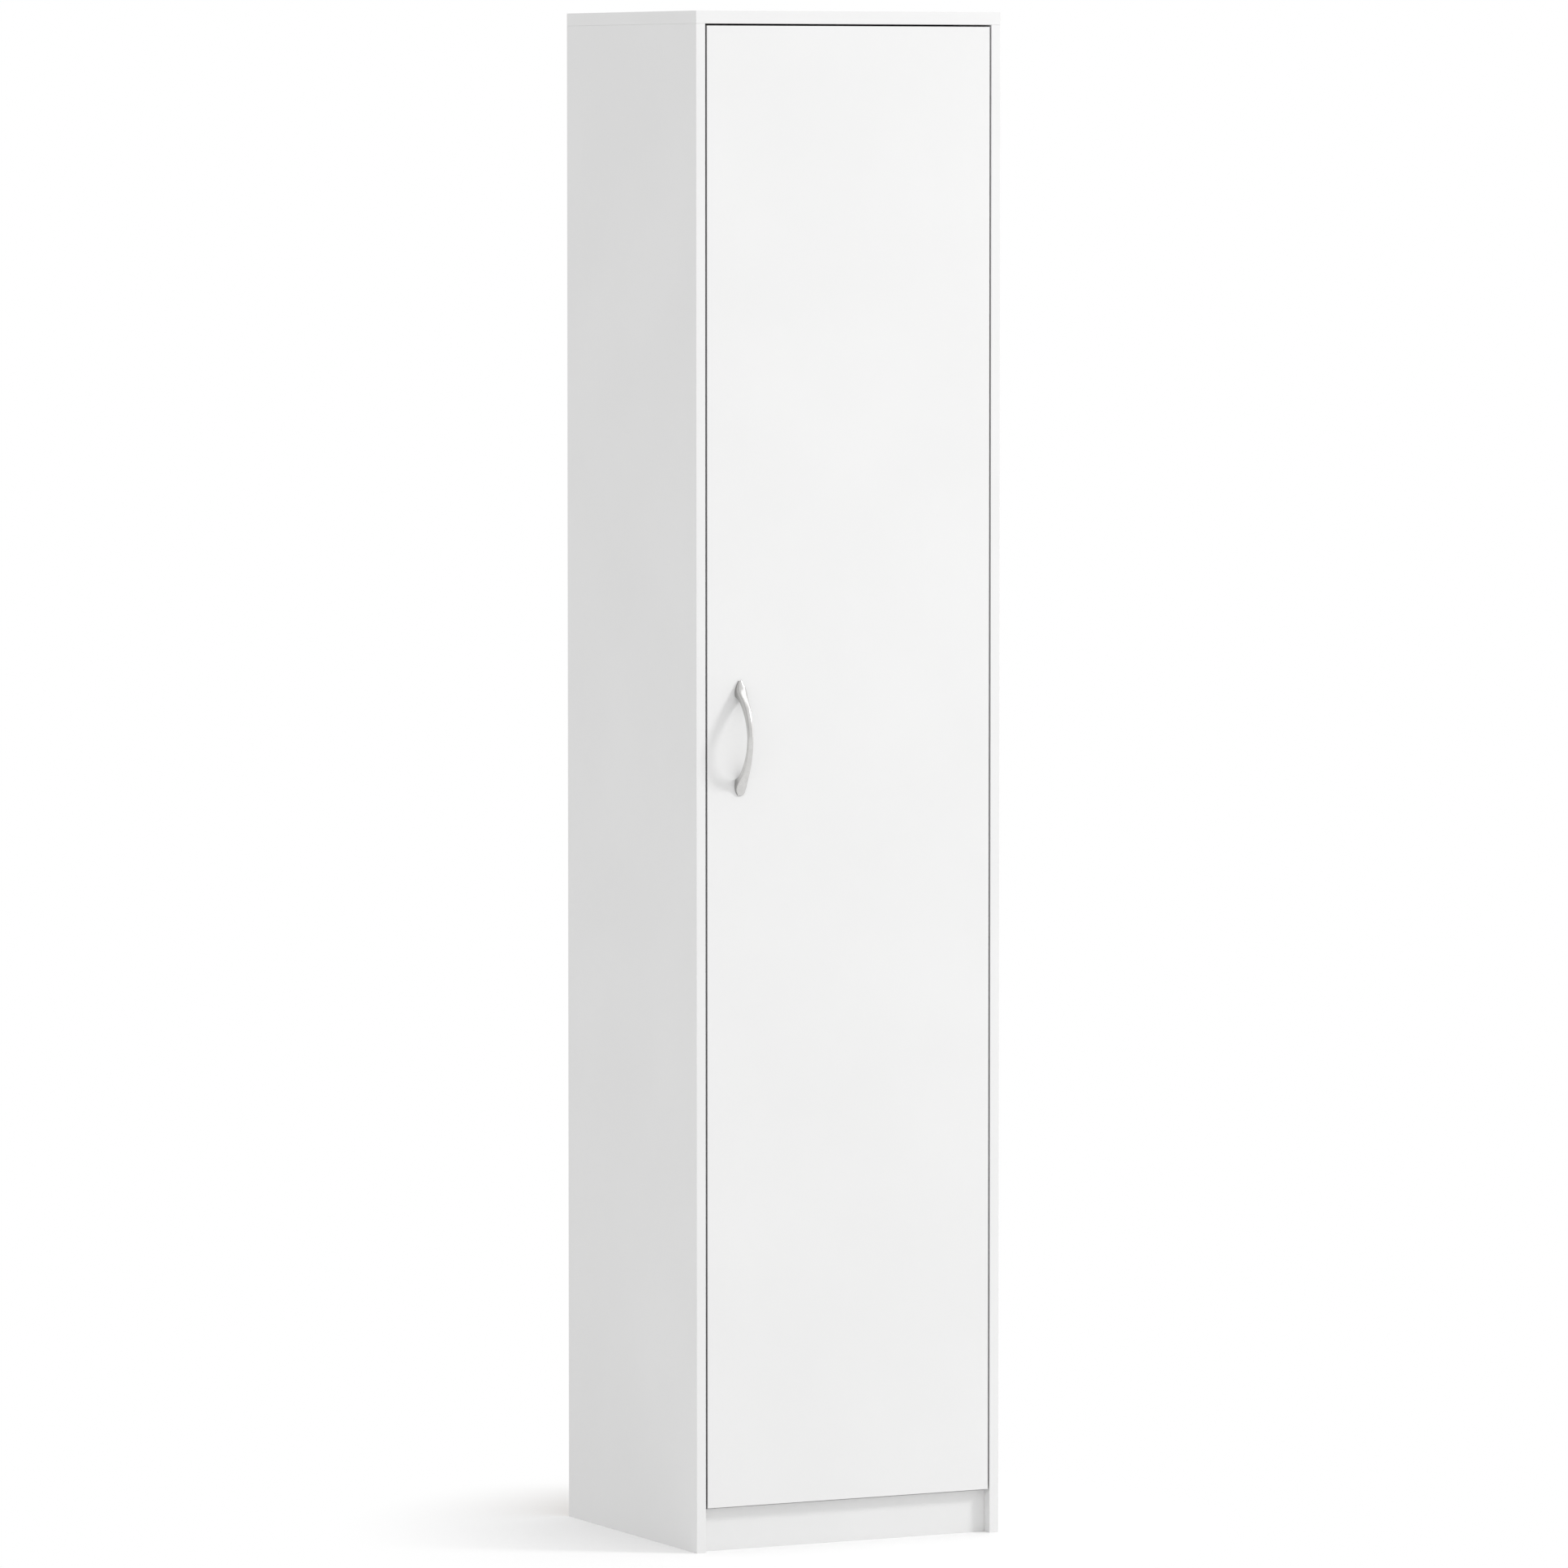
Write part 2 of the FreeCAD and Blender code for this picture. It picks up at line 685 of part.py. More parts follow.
def make_inner_link(z):
    """The short link in the middle plane, from the arm to the cup."""
    arm_end_point = at_hinge(inner_arm_pivot, 0)
    cup_end_point = at_hinge(inner_cup_pivot, 0)
    low = z - inner_link_half
    high = z + inner_link_half
    bar = strap(arm_end_point, cup_end_point, link_radius, low, high)
    holes = [
        pin_hole(inner_arm_pivot, z, -inner_link_half, inner_link_half, pin_run_play),
        pin_hole(inner_cup_pivot, z, -inner_link_half, inner_link_half, open_pivot_play),
    ]
    return cut_all(bar, holes)


def make_outer_link(z):
    """The wide link: two cheeks outside the arm, joined by a bridge over the mouth of the cup."""
    arm_end_point = at_hinge(outer_arm_pivot, 0)
    cup_end_point = at_hinge(outer_cup_pivot, 0)
    bridge_point = at_hinge(bridge_place, 0)
    pieces = [rod(Vector(bridge_point.x, bridge_point.y, z - outer_out), Vector(0, 0, 1),
                  2 * bridge_radius, 2 * outer_out)]
    holes = []
    for sign in (-1, 1):
        low, high = layer(sign, outer_in, outer_out)
        pieces.append(strap(arm_end_point, cup_end_point, link_radius, z + low, z + high))
        pieces.append(strap(cup_end_point, bridge_point, bridge_radius, z + low, z + high))
        holes.append(pin_hole(outer_arm_pivot, z, low, high, pin_run_play))
        holes.append(pin_hole(outer_cup_pivot, z, low, high, pin_run_play))
    return cut_all(join(pieces), holes)


def make_spring(z):
    """The leaf spring along the arm's neck that pulls the door shut."""
    left = cup_centre_x + arm_neck_left + arm_web
    return box(left, left + spring_thickness, door_rear_y + spring_start, door_rear_y + spring_end,
               z - spring_half_width, z + spring_half_width)


def hinge_cuts(z):
    """What one hinge cuts from the door and from the right side board."""
    forward = Vector(0, -1, 0)
    right = Vector(1, 0, 0)
    mouth = at_hinge(Vector(0, 0, 0), z)
    cuts["door"].append(rod(mouth, forward, cup_diameter, cup_depth + cup_floor_play))
    for sign in (-1, 1):
        seat = at_hinge(Vector(-wing_screw_offset, wing_thickness, 0), z + sign * wing_screw_reach)
        cuts["door"].append(screw_hole(seat, forward, wing_thickness + wing_screw_depth))
        cuts["right"].append(screw_hole(plate_screw_seat(z, sign), right, plate_base + screw_depth))


def make_hinges():
    """All three hinges, each piece a node of its own, with their pins and screws in groups."""
    forward = Vector(0, -1, 0)
    right = Vector(1, 0, 0)
    groups = {
        "hinge_inner_arm_pins": [], "hinge_outer_arm_pins": [], "hinge_inner_cup_pins": [],
        "hinge_outer_cup_pins": [], "hinge_cup_screws": [], "hinge_plate_screws": [],
        "hinge_arm_screws": [], "hinge_springs": [],
    }
    for place, z in hinge_heights.items():
        export("hinge_cup_" + place, make_cup(z))
        export("hinge_arm_" + place, make_arm(z))
        export("hinge_plate_" + place, make_plate(z))
        export("hinge_inner_link_" + place, make_inner_link(z))
        export("hinge_outer_link_" + place, make_outer_link(z))
        groups["hinge_inner_arm_pins"].append(pin(inner_arm_pivot, z, -arm_out, arm_out))
        groups["hinge_inner_cup_pins"].append(pin(inner_cup_pivot, z, -lug_out, lug_out))
        groups["hinge_springs"].append(make_spring(z))
        groups["hinge_arm_screws"] += make_arm_screws(z)
        for sign in (-1, 1):
            low, high = layer(sign, arm_in, outer_out)
            groups["hinge_outer_arm_pins"].append(pin(outer_arm_pivot, z, low, high))
            low, high = layer(sign, outer_in, cheek_out)
            groups["hinge_outer_cup_pins"].append(pin(outer_cup_pivot, z, low, high))
            seat = at_hinge(Vector(-wing_screw_offset, wing_thickness, 0), z + sign * wing_screw_reach)
            groups["hinge_cup_screws"].append(wood_screw(seat, forward, wing_thickness + wing_screw_depth))
            plate_seat = plate_screw_seat(z, sign)
            groups["hinge_plate_screws"].append(wood_screw(plate_seat, right, plate_base + screw_depth))
        hinge_cuts(z)
    for name, solids in groups.items():
        export(name, solids)


def make_boards():
    """The boards of the carcass and the door, with every groove and hole cut."""
    slot = inner_x + groove_depth
    for side, sign in (("left", -1), ("right", 1)):
        outer = sign * half_width
        inner = sign * inner_x
        panel = board(min(outer, inner), max(outer, inner), front_y, rear_y, 0, side_height)
        near, far = sorted((inner, sign * slot))
        groove = box(near, far, groove_front_y, groove_rear_y, 0, side_height)
        export("side_panel_" + side, cut_all(panel, [groove] + cuts[side]))
    top = board(-half_width, half_width, front_y, rear_y, side_height, cabinet_height)
    top_groove = box(-slot, slot, groove_front_y, groove_rear_y, side_height, side_height + groove_depth)
    export("top_panel", cut_all(top, [top_groove] + cuts["top"]))
    bottom = board(-inner_x, inner_x, plinth_rear_y, back_front_y, bottom_underside, plinth_height)
    export("bottom_panel", cut_all(bottom, cuts["bottom"]))
    shelf_top = shelf_underside + shelf_thickness
    shelf = board(-inner_x, inner_x, shelf_front_y, back_front_y, shelf_underside, shelf_top)
    export("fixed_shelf", cut_all(shelf, cuts["shelf"]))
    plinth = board(-inner_x, inner_x, plinth_front_y, plinth_rear_y, 0, plinth_height)
    export("plinth_board", cut_all(plinth, cuts["plinth"]))
    sheet_edge = slot - back_edge_play
    sheet_top = side_height + groove_depth - back_edge_play
    sheet = box(-sheet_edge, sheet_edge, back_front_y, back_rear_y, bottom_underside, sheet_top)
    export("back_panel", cut_all(sheet, cuts["back"]))
    door = board(door_left, door_right, front_y, door_rear_y, door_bottom, door_top)
    export("door_panel", cut_all(door, cuts["door"]))


def main():
    """Fit everything together and write one file for each piece."""
    os.makedirs("parts", exist_ok=True)
    fit_corner_joints()
    export("panel_nails", make_nails())
    brackets, bracket_screws = make_wall_brackets()
    export("wall_bracket_left", brackets[0])
    export("wall_bracket_right", brackets[1])
    export("wall_bracket_screws", bracket_screws)
    blocks, bumpers, stop_screws = make_door_stops()
    export("door_stop_blocks", blocks)
    export("door_bumpers", bumpers)
    export("door_stop_screws", stop_screws)
    handle, handle_screws = make_handle_and_screws()
    export("bow_handle", handle)
    export("handle_screws", handle_screws)
    make_hinges()
    make_boards()
    export("cam_locks", cams)
    export("cam_bolts", bolts)
    export("cam_caps", caps)
    export("dowels", dowels)


main()
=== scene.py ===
# %% [markdown]
# # A tall white broom cupboard
# The cupboard is a narrow box of white coated boards with one inset door, a plinth, a fixed
# shelf and a bow handle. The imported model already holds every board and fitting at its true
# place, so this lesson dresses that model: boards get rounded edges, edge bands and bores,
# the handle and the small fittings get their real shapes, and everything gets a finish.

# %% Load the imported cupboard
import json
import math

import bpy
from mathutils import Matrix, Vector


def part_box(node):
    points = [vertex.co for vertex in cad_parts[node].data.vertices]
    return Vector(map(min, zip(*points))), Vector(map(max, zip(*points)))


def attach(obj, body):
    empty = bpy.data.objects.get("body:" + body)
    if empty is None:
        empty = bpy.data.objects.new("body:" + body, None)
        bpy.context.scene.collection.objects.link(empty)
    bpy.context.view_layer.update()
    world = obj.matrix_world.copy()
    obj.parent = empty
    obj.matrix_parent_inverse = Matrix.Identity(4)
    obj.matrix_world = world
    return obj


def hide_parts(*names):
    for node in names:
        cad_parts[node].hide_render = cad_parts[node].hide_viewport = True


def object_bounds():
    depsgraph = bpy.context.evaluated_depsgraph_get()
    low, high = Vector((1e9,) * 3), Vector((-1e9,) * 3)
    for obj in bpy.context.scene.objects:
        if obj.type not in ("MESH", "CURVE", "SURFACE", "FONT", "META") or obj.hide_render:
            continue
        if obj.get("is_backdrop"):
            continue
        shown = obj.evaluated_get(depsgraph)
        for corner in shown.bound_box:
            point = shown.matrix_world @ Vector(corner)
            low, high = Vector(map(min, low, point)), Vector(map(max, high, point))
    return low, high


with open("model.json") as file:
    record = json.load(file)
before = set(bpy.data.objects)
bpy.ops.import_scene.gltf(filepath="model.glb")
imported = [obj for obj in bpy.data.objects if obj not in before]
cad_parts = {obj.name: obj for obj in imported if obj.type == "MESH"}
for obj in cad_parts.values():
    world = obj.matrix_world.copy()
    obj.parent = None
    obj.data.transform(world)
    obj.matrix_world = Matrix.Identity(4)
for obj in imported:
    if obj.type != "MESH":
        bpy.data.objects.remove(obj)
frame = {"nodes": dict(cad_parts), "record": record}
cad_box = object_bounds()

mm = 0.001
nodes = frame["nodes"]
scene = bpy.context.scene


def in_mm(numbers):
    """Places or sizes in tenths of a millimetre, to print."""
    return [round(number / mm, 1) for number in numbers]


print("loaded", len(nodes), "nodes, from", in_mm(cad_box[0]), "to", in_mm(cad_box[1]), "mm")

# %% [markdown]
# ## The camera
# The picture was taken from far away with a long lens, a little to the left of the door and
# slightly from above. A camera can be nudged by eye until the edges meet, but the cupboard's
# corners tell exactly where it stood, so its place, its turn and its lens were worked out from
# them. A long lens keeps the upright edges almost parallel, as they are in the picture.

# %% Place the camera
camera_place = Vector((-5.2775, -10.5155, 1.6726))
camera_turn = 0.464737
camera_drop = 0.06647
camera_aim = (math.radians(90) - camera_drop, 0, -camera_turn)
bpy.ops.object.camera_add(location=camera_place, rotation=camera_aim)
camera = bpy.context.object
camera.name = "picture_camera"
camera.data.sensor_width = 36
camera.data.lens = 227.37
scene.camera = camera
scene.view_settings.view_transform = "Standard"
print("camera at", in_mm(camera.location), "mm with a lens of", round(camera.data.lens, 2), "mm")

# %% [markdown]
# ## The studio lamp
# A white cupboard needs light from everywhere, or its white turns grey. The world gives most
# of it. Several lamps could add the rest, but each would throw a shadow of its own. So one
# round soft lamp at the front right makes the door brighter than the left side, and throws
# the handle's soft shadow down to the left.

# %% Hang the lamp
lamp_turn = math.radians(54)
lamp_rise = math.radians(29)
lamp_distance = 6.5
door_middle = Vector((0, 0, 0.9))
lamp_way = Vector((math.cos(lamp_rise) * math.sin(lamp_turn),
                   -math.cos(lamp_rise) * math.cos(lamp_turn),
                   math.sin(lamp_rise)))
lamp_place = door_middle + lamp_way * lamp_distance
lamp_aim = lamp_way.to_track_quat("Z", "Y").to_euler()
bpy.ops.object.light_add(type="AREA", location=lamp_place, rotation=lamp_aim)
lamp = bpy.context.object
lamp.name = "soft_lamp"
lamp.data.shape = "DISK"
lamp.data.size = 1.2
lamp.data.energy = 152
print("lamp at", in_mm(lamp.location), "mm")

# %% [markdown]
# ## The room around the cupboard
# One world can answer each kind of ray in its own way. The boards get an even soft light. The
# camera sees pure white behind the cupboard, which adds no light to it. Metal mirrors a room
# that is a little darker away from the lamp, with one tall bright strip, like the strip light
# with which a studio draws a long clean line on a handle. A light path node tells the rays
# apart, and a few helpers keep that short here and on the floor.

# %% Helpers for rays
def rays(tree, *kinds):
    """A value that is 1 for the named kinds of rays and 0 for all others."""
    path = tree.nodes.new("ShaderNodeLightPath")
    value = path.outputs[kinds[0]]
    for kind in kinds[1:]:
        either = tree.nodes.new("ShaderNodeMath")
        either.operation = "MAXIMUM"
        tree.links.new(value, either.inputs[0])
        tree.links.new(path.outputs[kind], either.inputs[1])
        value = either.outputs[0]
    return value


def choose_shader(tree, value, first, second):
    """The first shader where a value is 0, and the second where it is 1."""
    choice = tree.nodes.new("ShaderNodeMixShader")
    tree.links.new(value, choice.inputs["Fac"])
    tree.links.new(first.outputs[0], choice.inputs[1])
    tree.links.new(second.outputs[0], choice.inputs[2])
    return choice


def spread(tree, value, old_range, new_range, ends="SMOOTHSTEP"):
    """Spread a value from one range over another, with soft or with straight ends."""
    node = tree.nodes.new("ShaderNodeMapRange")
    node.interpolation_type = ends
    for name, number in zip(("From Min", "From Max", "To Min", "To Max"), (*old_range, *new_range)):
        node.inputs[name].default_value = number
    tree.links.new(value, node.inputs["Value"])
    return node.outputs["Result"]


print("ray helpers ready")

# %% Tell how bright the mirrored room is
world = bpy.data.worlds.new("studio_air")
scene.world = world
world.use_nodes = True
air = world.node_tree
air.nodes.clear()
lamp_side = (0.3, 0.75)
room_tones = (0.66, 0.88)
strip_turn = math.radians(60)
strip_way = Vector((math.sin(strip_turn), -math.cos(strip_turn), 0))
strip_side = (0.95, 0.99)
strip_tones = (0.0, 0.95)
way_out = air.nodes.new("ShaderNodeTexCoord").outputs["Generated"]


def vector_step(operation, vector, other=None):
    """One step of vector arithmetic on the way that a ray leaves."""
    step = air.nodes.new("ShaderNodeVectorMath")
    step.operation = operation
    air.links.new(vector, step.inputs[0])
    if other is not None:
        step.inputs[1].default_value = other
    return step.outputs["Value" if operation == "DOT_PRODUCT" else "Vector"]


level_way = vector_step("NORMALIZE", vector_step("MULTIPLY", way_out, (1, 1, 0)))
to_lamp = vector_step("DOT_PRODUCT", way_out, lamp_way)
to_strip = vector_step("DOT_PRODUCT", level_way, strip_way)
mirror_tone = air.nodes.new("ShaderNodeMath")
mirror_tone.operation = "ADD"
air.links.new(spread(air, to_lamp, lamp_side, room_tones), mirror_tone.inputs[0])
air.links.new(spread(air, to_strip, strip_side, strip_tones), mirror_tone.inputs[1])
print("the strip stands", round(math.degrees(strip_turn)), "degrees to the right of the door")

# %% Light the room
soft_strength = 0.865


def add_background(strength):
    """A white background of some strength."""
    background = air.nodes.new("ShaderNodeBackground")
    background.inputs["Color"].default_value = (1.0, 1.0, 1.0, 1.0)
    background.inputs["Strength"].default_value = strength
    return background


mirrored_room = add_background(1.0)
air.links.new(mirror_tone.outputs[0], mirrored_room.inputs["Strength"])
lit = choose_shader(air, rays(air, "Is Glossy Ray"), add_background(soft_strength), mirrored_room)
seen_by_camera = rays(air, "Is Camera Ray", "Is Transmission Ray")
lit = choose_shader(air, seen_by_camera, lit, add_background(1.0))
air.links.new(lit.outputs[0], air.nodes.new("ShaderNodeOutputWorld").inputs["Surface"])
print("the world lights the boards with", soft_strength)

# %% [markdown]
# ## The floor
# The floor is one pale plane just under the boards. Close to the cupboard it is an ordinary
# matt floor that takes a shadow. Further out it fades into the white of the room, so that no
# horizon shows. A curved backdrop would hide the horizon too, but only from one side. To the
# light the floor is greyer than to the camera, so that it doesn't throw too much light up.

# %% Lay the floor
floor_size = 40
floor_drop = 0.05 * mm
bpy.ops.mesh.primitive_plane_add(size=floor_size, location=(0, 0, -floor_drop))
floor = bpy.context.object
floor.name = "studio_floor"
bpy.ops.object.transform_apply(location=True, rotation=True, scale=True)
floor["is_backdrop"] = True
print("floor laid", floor_drop / mm, "mm under the boards")

# %% Paint the floor
floor_paint = bpy.data.materials.new("pale_floor")
floor_paint.use_nodes = True
paint_tree = floor_paint.node_tree
paint_tree.nodes.clear()
fade = (0.2, 0.55)


def floor_shader(kind, tone):
    """One shader of the floor, in a grey tone."""
    shader = paint_tree.nodes.new(kind)
    shader.inputs["Color"].default_value = (tone, tone, tone, 1.0)
    return shader


place = paint_tree.nodes.new("ShaderNodeTexCoord")
reach = paint_tree.nodes.new("ShaderNodeVectorMath")
reach.operation = "LENGTH"
paint_tree.links.new(place.outputs["Object"], reach.inputs[0])
seen = rays(paint_tree, "Is Camera Ray", "Is Glossy Ray", "Is Transmission Ray")
seen_far_out = paint_tree.nodes.new("ShaderNodeMath")
seen_far_out.operation = "MULTIPLY"
paint_tree.links.new(spread(paint_tree, reach.outputs["Value"], fade, (0.0, 1.0)), seen_far_out.inputs[0])
paint_tree.links.new(seen, seen_far_out.inputs[1])
matt = floor_shader("ShaderNodeBsdfDiffuse", 0.80)
pale = floor_shader("ShaderNodeBsdfDiffuse", 0.98)
glow = floor_shader("ShaderNodeEmission", 1.0)
near_floor = choose_shader(paint_tree, seen, matt, pale)
whole_floor = choose_shader(paint_tree, seen_far_out.outputs[0], near_floor, glow)
floor_output = paint_tree.nodes.new("ShaderNodeOutputMaterial")
paint_tree.links.new(whole_floor.outputs[0], floor_output.inputs["Surface"])
floor.data.materials.append(floor_paint)
print("painted the floor with", floor_paint.name)

# %% [markdown]
# ## A few words for finishes
# Every finish starts as one plain shader with its colour, roughness and metal set on its own
# sockets. Patterns come from noise on the piece's own coordinates, counted in cells per
# metre, so a pattern has the same size on a large board and on a small screw. One helper
# makes the noise, and three use it: for the colour, for the gloss and for the relief.

# %% Helpers for finishes
def socket(finish, name):
    """One input of a finish's shader."""
    return finish.node_tree.nodes["Principled BSDF"].inputs[name]


def new_finish(name, colour, roughness, metallic=0.0):
    """A material with its plain values on the shader's own sockets."""
    finish = bpy.data.materials.new(name)
    finish.use_nodes = True
    socket(finish, "Base Color").default_value = (*colour, 1.0)
    socket(finish, "Roughness").default_value = roughness
    socket(finish, "Metallic").default_value = metallic
    return finish


def add_noise(finish, cells, stretch=(1.0, 1.0, 1.0), detail=3.0):
    """Noise with a number of cells per metre, squeezed or stretched along the axes."""
    tree = finish.node_tree
    place = tree.nodes.new("ShaderNodeTexCoord")
    mapping = tree.nodes.new("ShaderNodeMapping")
    mapping.inputs["Scale"].default_value = stretch
    noise = tree.nodes.new("ShaderNodeTexNoise")
    noise.inputs["Scale"].default_value = cells
    noise.inputs["Detail"].default_value = detail
    tree.links.new(place.outputs["Object"], mapping.inputs["Vector"])
    tree.links.new(mapping.outputs["Vector"], noise.inputs["Vector"])
    return noise


print("finishes start as one shader, with noise on the piece's own coordinates")

# %% Helpers for patterns
middle_noise = (0.3, 0.7)


def vary_colour(finish, pattern, dark, pale, low=0.35, high=0.65):
    """Let a pattern choose between a darker and a paler colour."""
    tree = finish.node_tree
    ramp = tree.nodes.new("ShaderNodeValToRGB")
    ramp.color_ramp.elements[0].position = low
    ramp.color_ramp.elements[0].color = (*dark, 1.0)
    ramp.color_ramp.elements[1].position = high
    ramp.color_ramp.elements[1].color = (*pale, 1.0)
    tree.links.new(pattern.outputs[0], ramp.inputs["Fac"])
    tree.links.new(ramp.outputs["Color"], socket(finish, "Base Color"))
    return ramp


def vary_gloss(finish, pattern, smooth, rough):
    """Let a pattern choose between a smoother and a rougher surface."""
    tree = finish.node_tree
    gloss = spread(tree, pattern.outputs[0], middle_noise, (smooth, rough), "LINEAR")
    tree.links.new(gloss, socket(finish, "Roughness"))


def add_relief(finish, pattern, height, strength):
    """Let a pattern raise and sink the surface by a small height."""
    tree = finish.node_tree
    bump = tree.nodes.new("ShaderNodeBump")
    bump.inputs["Distance"].default_value = height
    bump.inputs["Strength"].default_value = strength
    tree.links.new(pattern.outputs[0], bump.inputs["Height"])
    tree.links.new(bump.outputs["Normal"], socket(finish, "Normal"))


print("patterns can vary the colour, the gloss and the relief")

# %% [markdown]
# ## White melamine and its edge band
# The boards are chipboard under a white melamine skin. The skin is satin, with a fine pearl
# grain that is felt more than seen, and its white is never quite even. The front edges carry
# a plastic band, a little smoother, with faint lines along its length from the rollers. One
# flat white would look like paper, so each has three faint patterns, coarse to fine.

# %% Make the white finishes
board_white = (0.85, 0.85, 0.848)
dull_shine = 0.25
melamine = new_finish("white_melamine", board_white, 0.6)
socket(melamine, "Specular IOR Level").default_value = dull_shine
vary_colour(melamine, add_noise(melamine, 5.0), (0.842, 0.842, 0.84), (0.858, 0.858, 0.856))
vary_gloss(melamine, add_noise(melamine, 90.0), 0.56, 0.66)
add_relief(melamine, add_noise(melamine, 900.0, detail=2.0), 0.06 * mm, 0.25)


def new_band(name, grain_stretch=(1.0, 1.0, 1.0)):
    """A white plastic edge band with faint lines, still in one even white."""
    band = new_finish(name, board_white, 0.52)
    socket(band, "Specular IOR Level").default_value = dull_shine
    vary_gloss(band, add_noise(band, 60.0), 0.48, 0.56)
    add_relief(band, add_noise(band, 700.0, stretch=grain_stretch), 0.04 * mm, 0.2)
    return band


edge_band = new_band("white_edge_band", (1.0, 1.0, 0.06))
vary_colour(edge_band, add_noise(edge_band, 9.0), (0.842, 0.842, 0.84), (0.856, 0.856, 0.854))
print("made", melamine.name, "and", edge_band.name)

# %% [markdown]
# ## The edge of the door
# The door's edge has the same white band, but the narrow gap round the shut door looks almost
# black in the picture. White faces in a narrow gap throw light back and forth and turn the
# gap pale. So shade is painted into the band's colour: an occlusion node tells how much stands
# close in front of a face, and the band turns grey inside the gap, which leaves the gap full of
# shadow, and stays white once the door is open.

# %% Make the door edge
gap_reach = 8 * mm
painted_gap_shade = (0.35, 0.35, 0.352)


def add_occlusion_shade(finish, reach):
    """An occlusion node, used to paint shade into a colour: white where a face is free, dark where
    something stands close.
    """
    occlusion_shade = finish.node_tree.nodes.new("ShaderNodeAmbientOcclusion")
    occlusion_shade.samples = 16
    occlusion_shade.inputs["Distance"].default_value = reach
    return occlusion_shade


# The door's edge band gets painted shade: grey where another piece stands close, as in the shut gap.
door_edge_painted_shade = new_band("door_edge_band_painted_shade")
vary_colour(door_edge_painted_shade, add_occlusion_shade(door_edge_painted_shade, gap_reach), painted_gap_shade, board_white, low=0.6, high=0.95)
print("made", door_edge_painted_shade.name, "which darkens within", gap_reach / mm, "mm of another piece")

# %% [markdown]
# ## Bare chipboard and the back sheet
# Edges that face the wall or the floor are left bare, and show the pressed chips: pale and
# dark flecks a few millimetres long. The back sheet is thin fibreboard, lacquered white on
# the inside and brown and woolly behind. Chips could be modelled one by one, but from a step
# away coarse and fine noise look the same and cost no faces.

# %% Make the chipboard
chipboard = new_finish("bare_chipboard", (0.55, 0.43, 0.29), 0.9)
chips = add_noise(chipboard, 480.0, stretch=(1.0, 1.0, 0.5), detail=4.0)
chip_colours = vary_colour(chipboard, chips, (0.30, 0.205, 0.12), (0.63, 0.51, 0.36), low=0.36, high=0.62)
middle_chip = chip_colours.color_ramp.elements.new(0.48)
middle_chip.color = (0.50, 0.385, 0.245, 1.0)
add_relief(chipboard, chips, 0.6 * mm, 0.6)
print("made", chipboard.name)

# %% Make the two faces of the back sheet
fibreboard = new_finish("brown_fibreboard", (0.30, 0.19, 0.11), 0.82)
fibres = add_noise(fibreboard, 800.0, stretch=(0.4, 1.0, 1.0), detail=5.0)
vary_colour(fibreboard, fibres, (0.235, 0.145, 0.08), (0.36, 0.235, 0.14), low=0.3, high=0.7)
vary_gloss(fibreboard, add_noise(fibreboard, 35.0), 0.74, 0.9)
add_relief(fibreboard, fibres, 0.2 * mm, 0.5)

lacquer = new_finish("white_lacquer", (0.82, 0.818, 0.81), 0.5)
vary_colour(lacquer, add_noise(lacquer, 8.0), (0.81, 0.808, 0.80), (0.83, 0.828, 0.82))
vary_gloss(lacquer, add_noise(lacquer, 140.0), 0.44, 0.56)
add_relief(lacquer, add_noise(lacquer, 1300.0, detail=2.0), 0.05 * mm, 0.3)
print("made", fibreboard.name, "and", lacquer.name)

# %% [markdown]
# ## The metals
# The handle is satin nickel, brushed along its length, with shade painted into its colour in the
# corners and where it meets another piece. The hinges are nickel plated and brighter. Screws,
# nails and bolts are zinc plated, with a faint yellow and blue tint, the brackets are galvanised,
# with its large pale flakes, and the cams are rough cast zinc. Stretched noise gives the
# brushing, and cells of a Voronoi pattern give the flakes, because they have straight borders as
# the crystals do.

# %% Make the satin nickel
def paint_corner_shade(finish, reach):
    """Paint shade into the colour of a finish in corners and where it meets another piece."""
    tree = finish.node_tree
    base = socket(finish, "Base Color")
    occlusion_shade = add_occlusion_shade(finish, reach)
    tree.links.new(base.links[0].from_socket, occlusion_shade.inputs["Color"])
    tree.links.new(occlusion_shade.outputs["Color"], base)


satin_nickel = new_finish("satin_nickel", (0.65, 0.645, 0.635), 0.19, 1.0)
brushing = add_noise(satin_nickel, 3000.0, stretch=(0.04, 0.04, 1.0), detail=2.0)
vary_gloss(satin_nickel, brushing, 0.15, 0.22)
vary_colour(satin_nickel, add_noise(satin_nickel, 120.0), (0.63, 0.625, 0.615), (0.67, 0.665, 0.655))
add_relief(satin_nickel, brushing, 0.06 * mm, 0.6)
# Paint shade into the handle's colour in its corners and where its feet meet the door.
paint_corner_shade(satin_nickel, 15 * mm)
print("made", satin_nickel.name)

# %% Make the plated and the cast metals
bright_nickel = new_finish("bright_nickel", (0.74, 0.73, 0.70), 0.22, 1.0)
vary_colour(bright_nickel, add_noise(bright_nickel, 150.0), (0.70, 0.69, 0.66), (0.77, 0.76, 0.735))
vary_gloss(bright_nickel, add_noise(bright_nickel, 300.0), 0.17, 0.30)
add_relief(bright_nickel, add_noise(bright_nickel, 500.0), 0.04 * mm, 0.25)

plated_steel = new_finish("zinc_plated_steel", (0.63, 0.63, 0.61), 0.3, 1.0)
vary_colour(plated_steel, add_noise(plated_steel, 200.0), (0.60, 0.62, 0.64), (0.67, 0.64, 0.57))
vary_gloss(plated_steel, add_noise(plated_steel, 600.0), 0.24, 0.38)
add_relief(plated_steel, add_noise(plated_steel, 900.0), 0.03 * mm, 0.3)

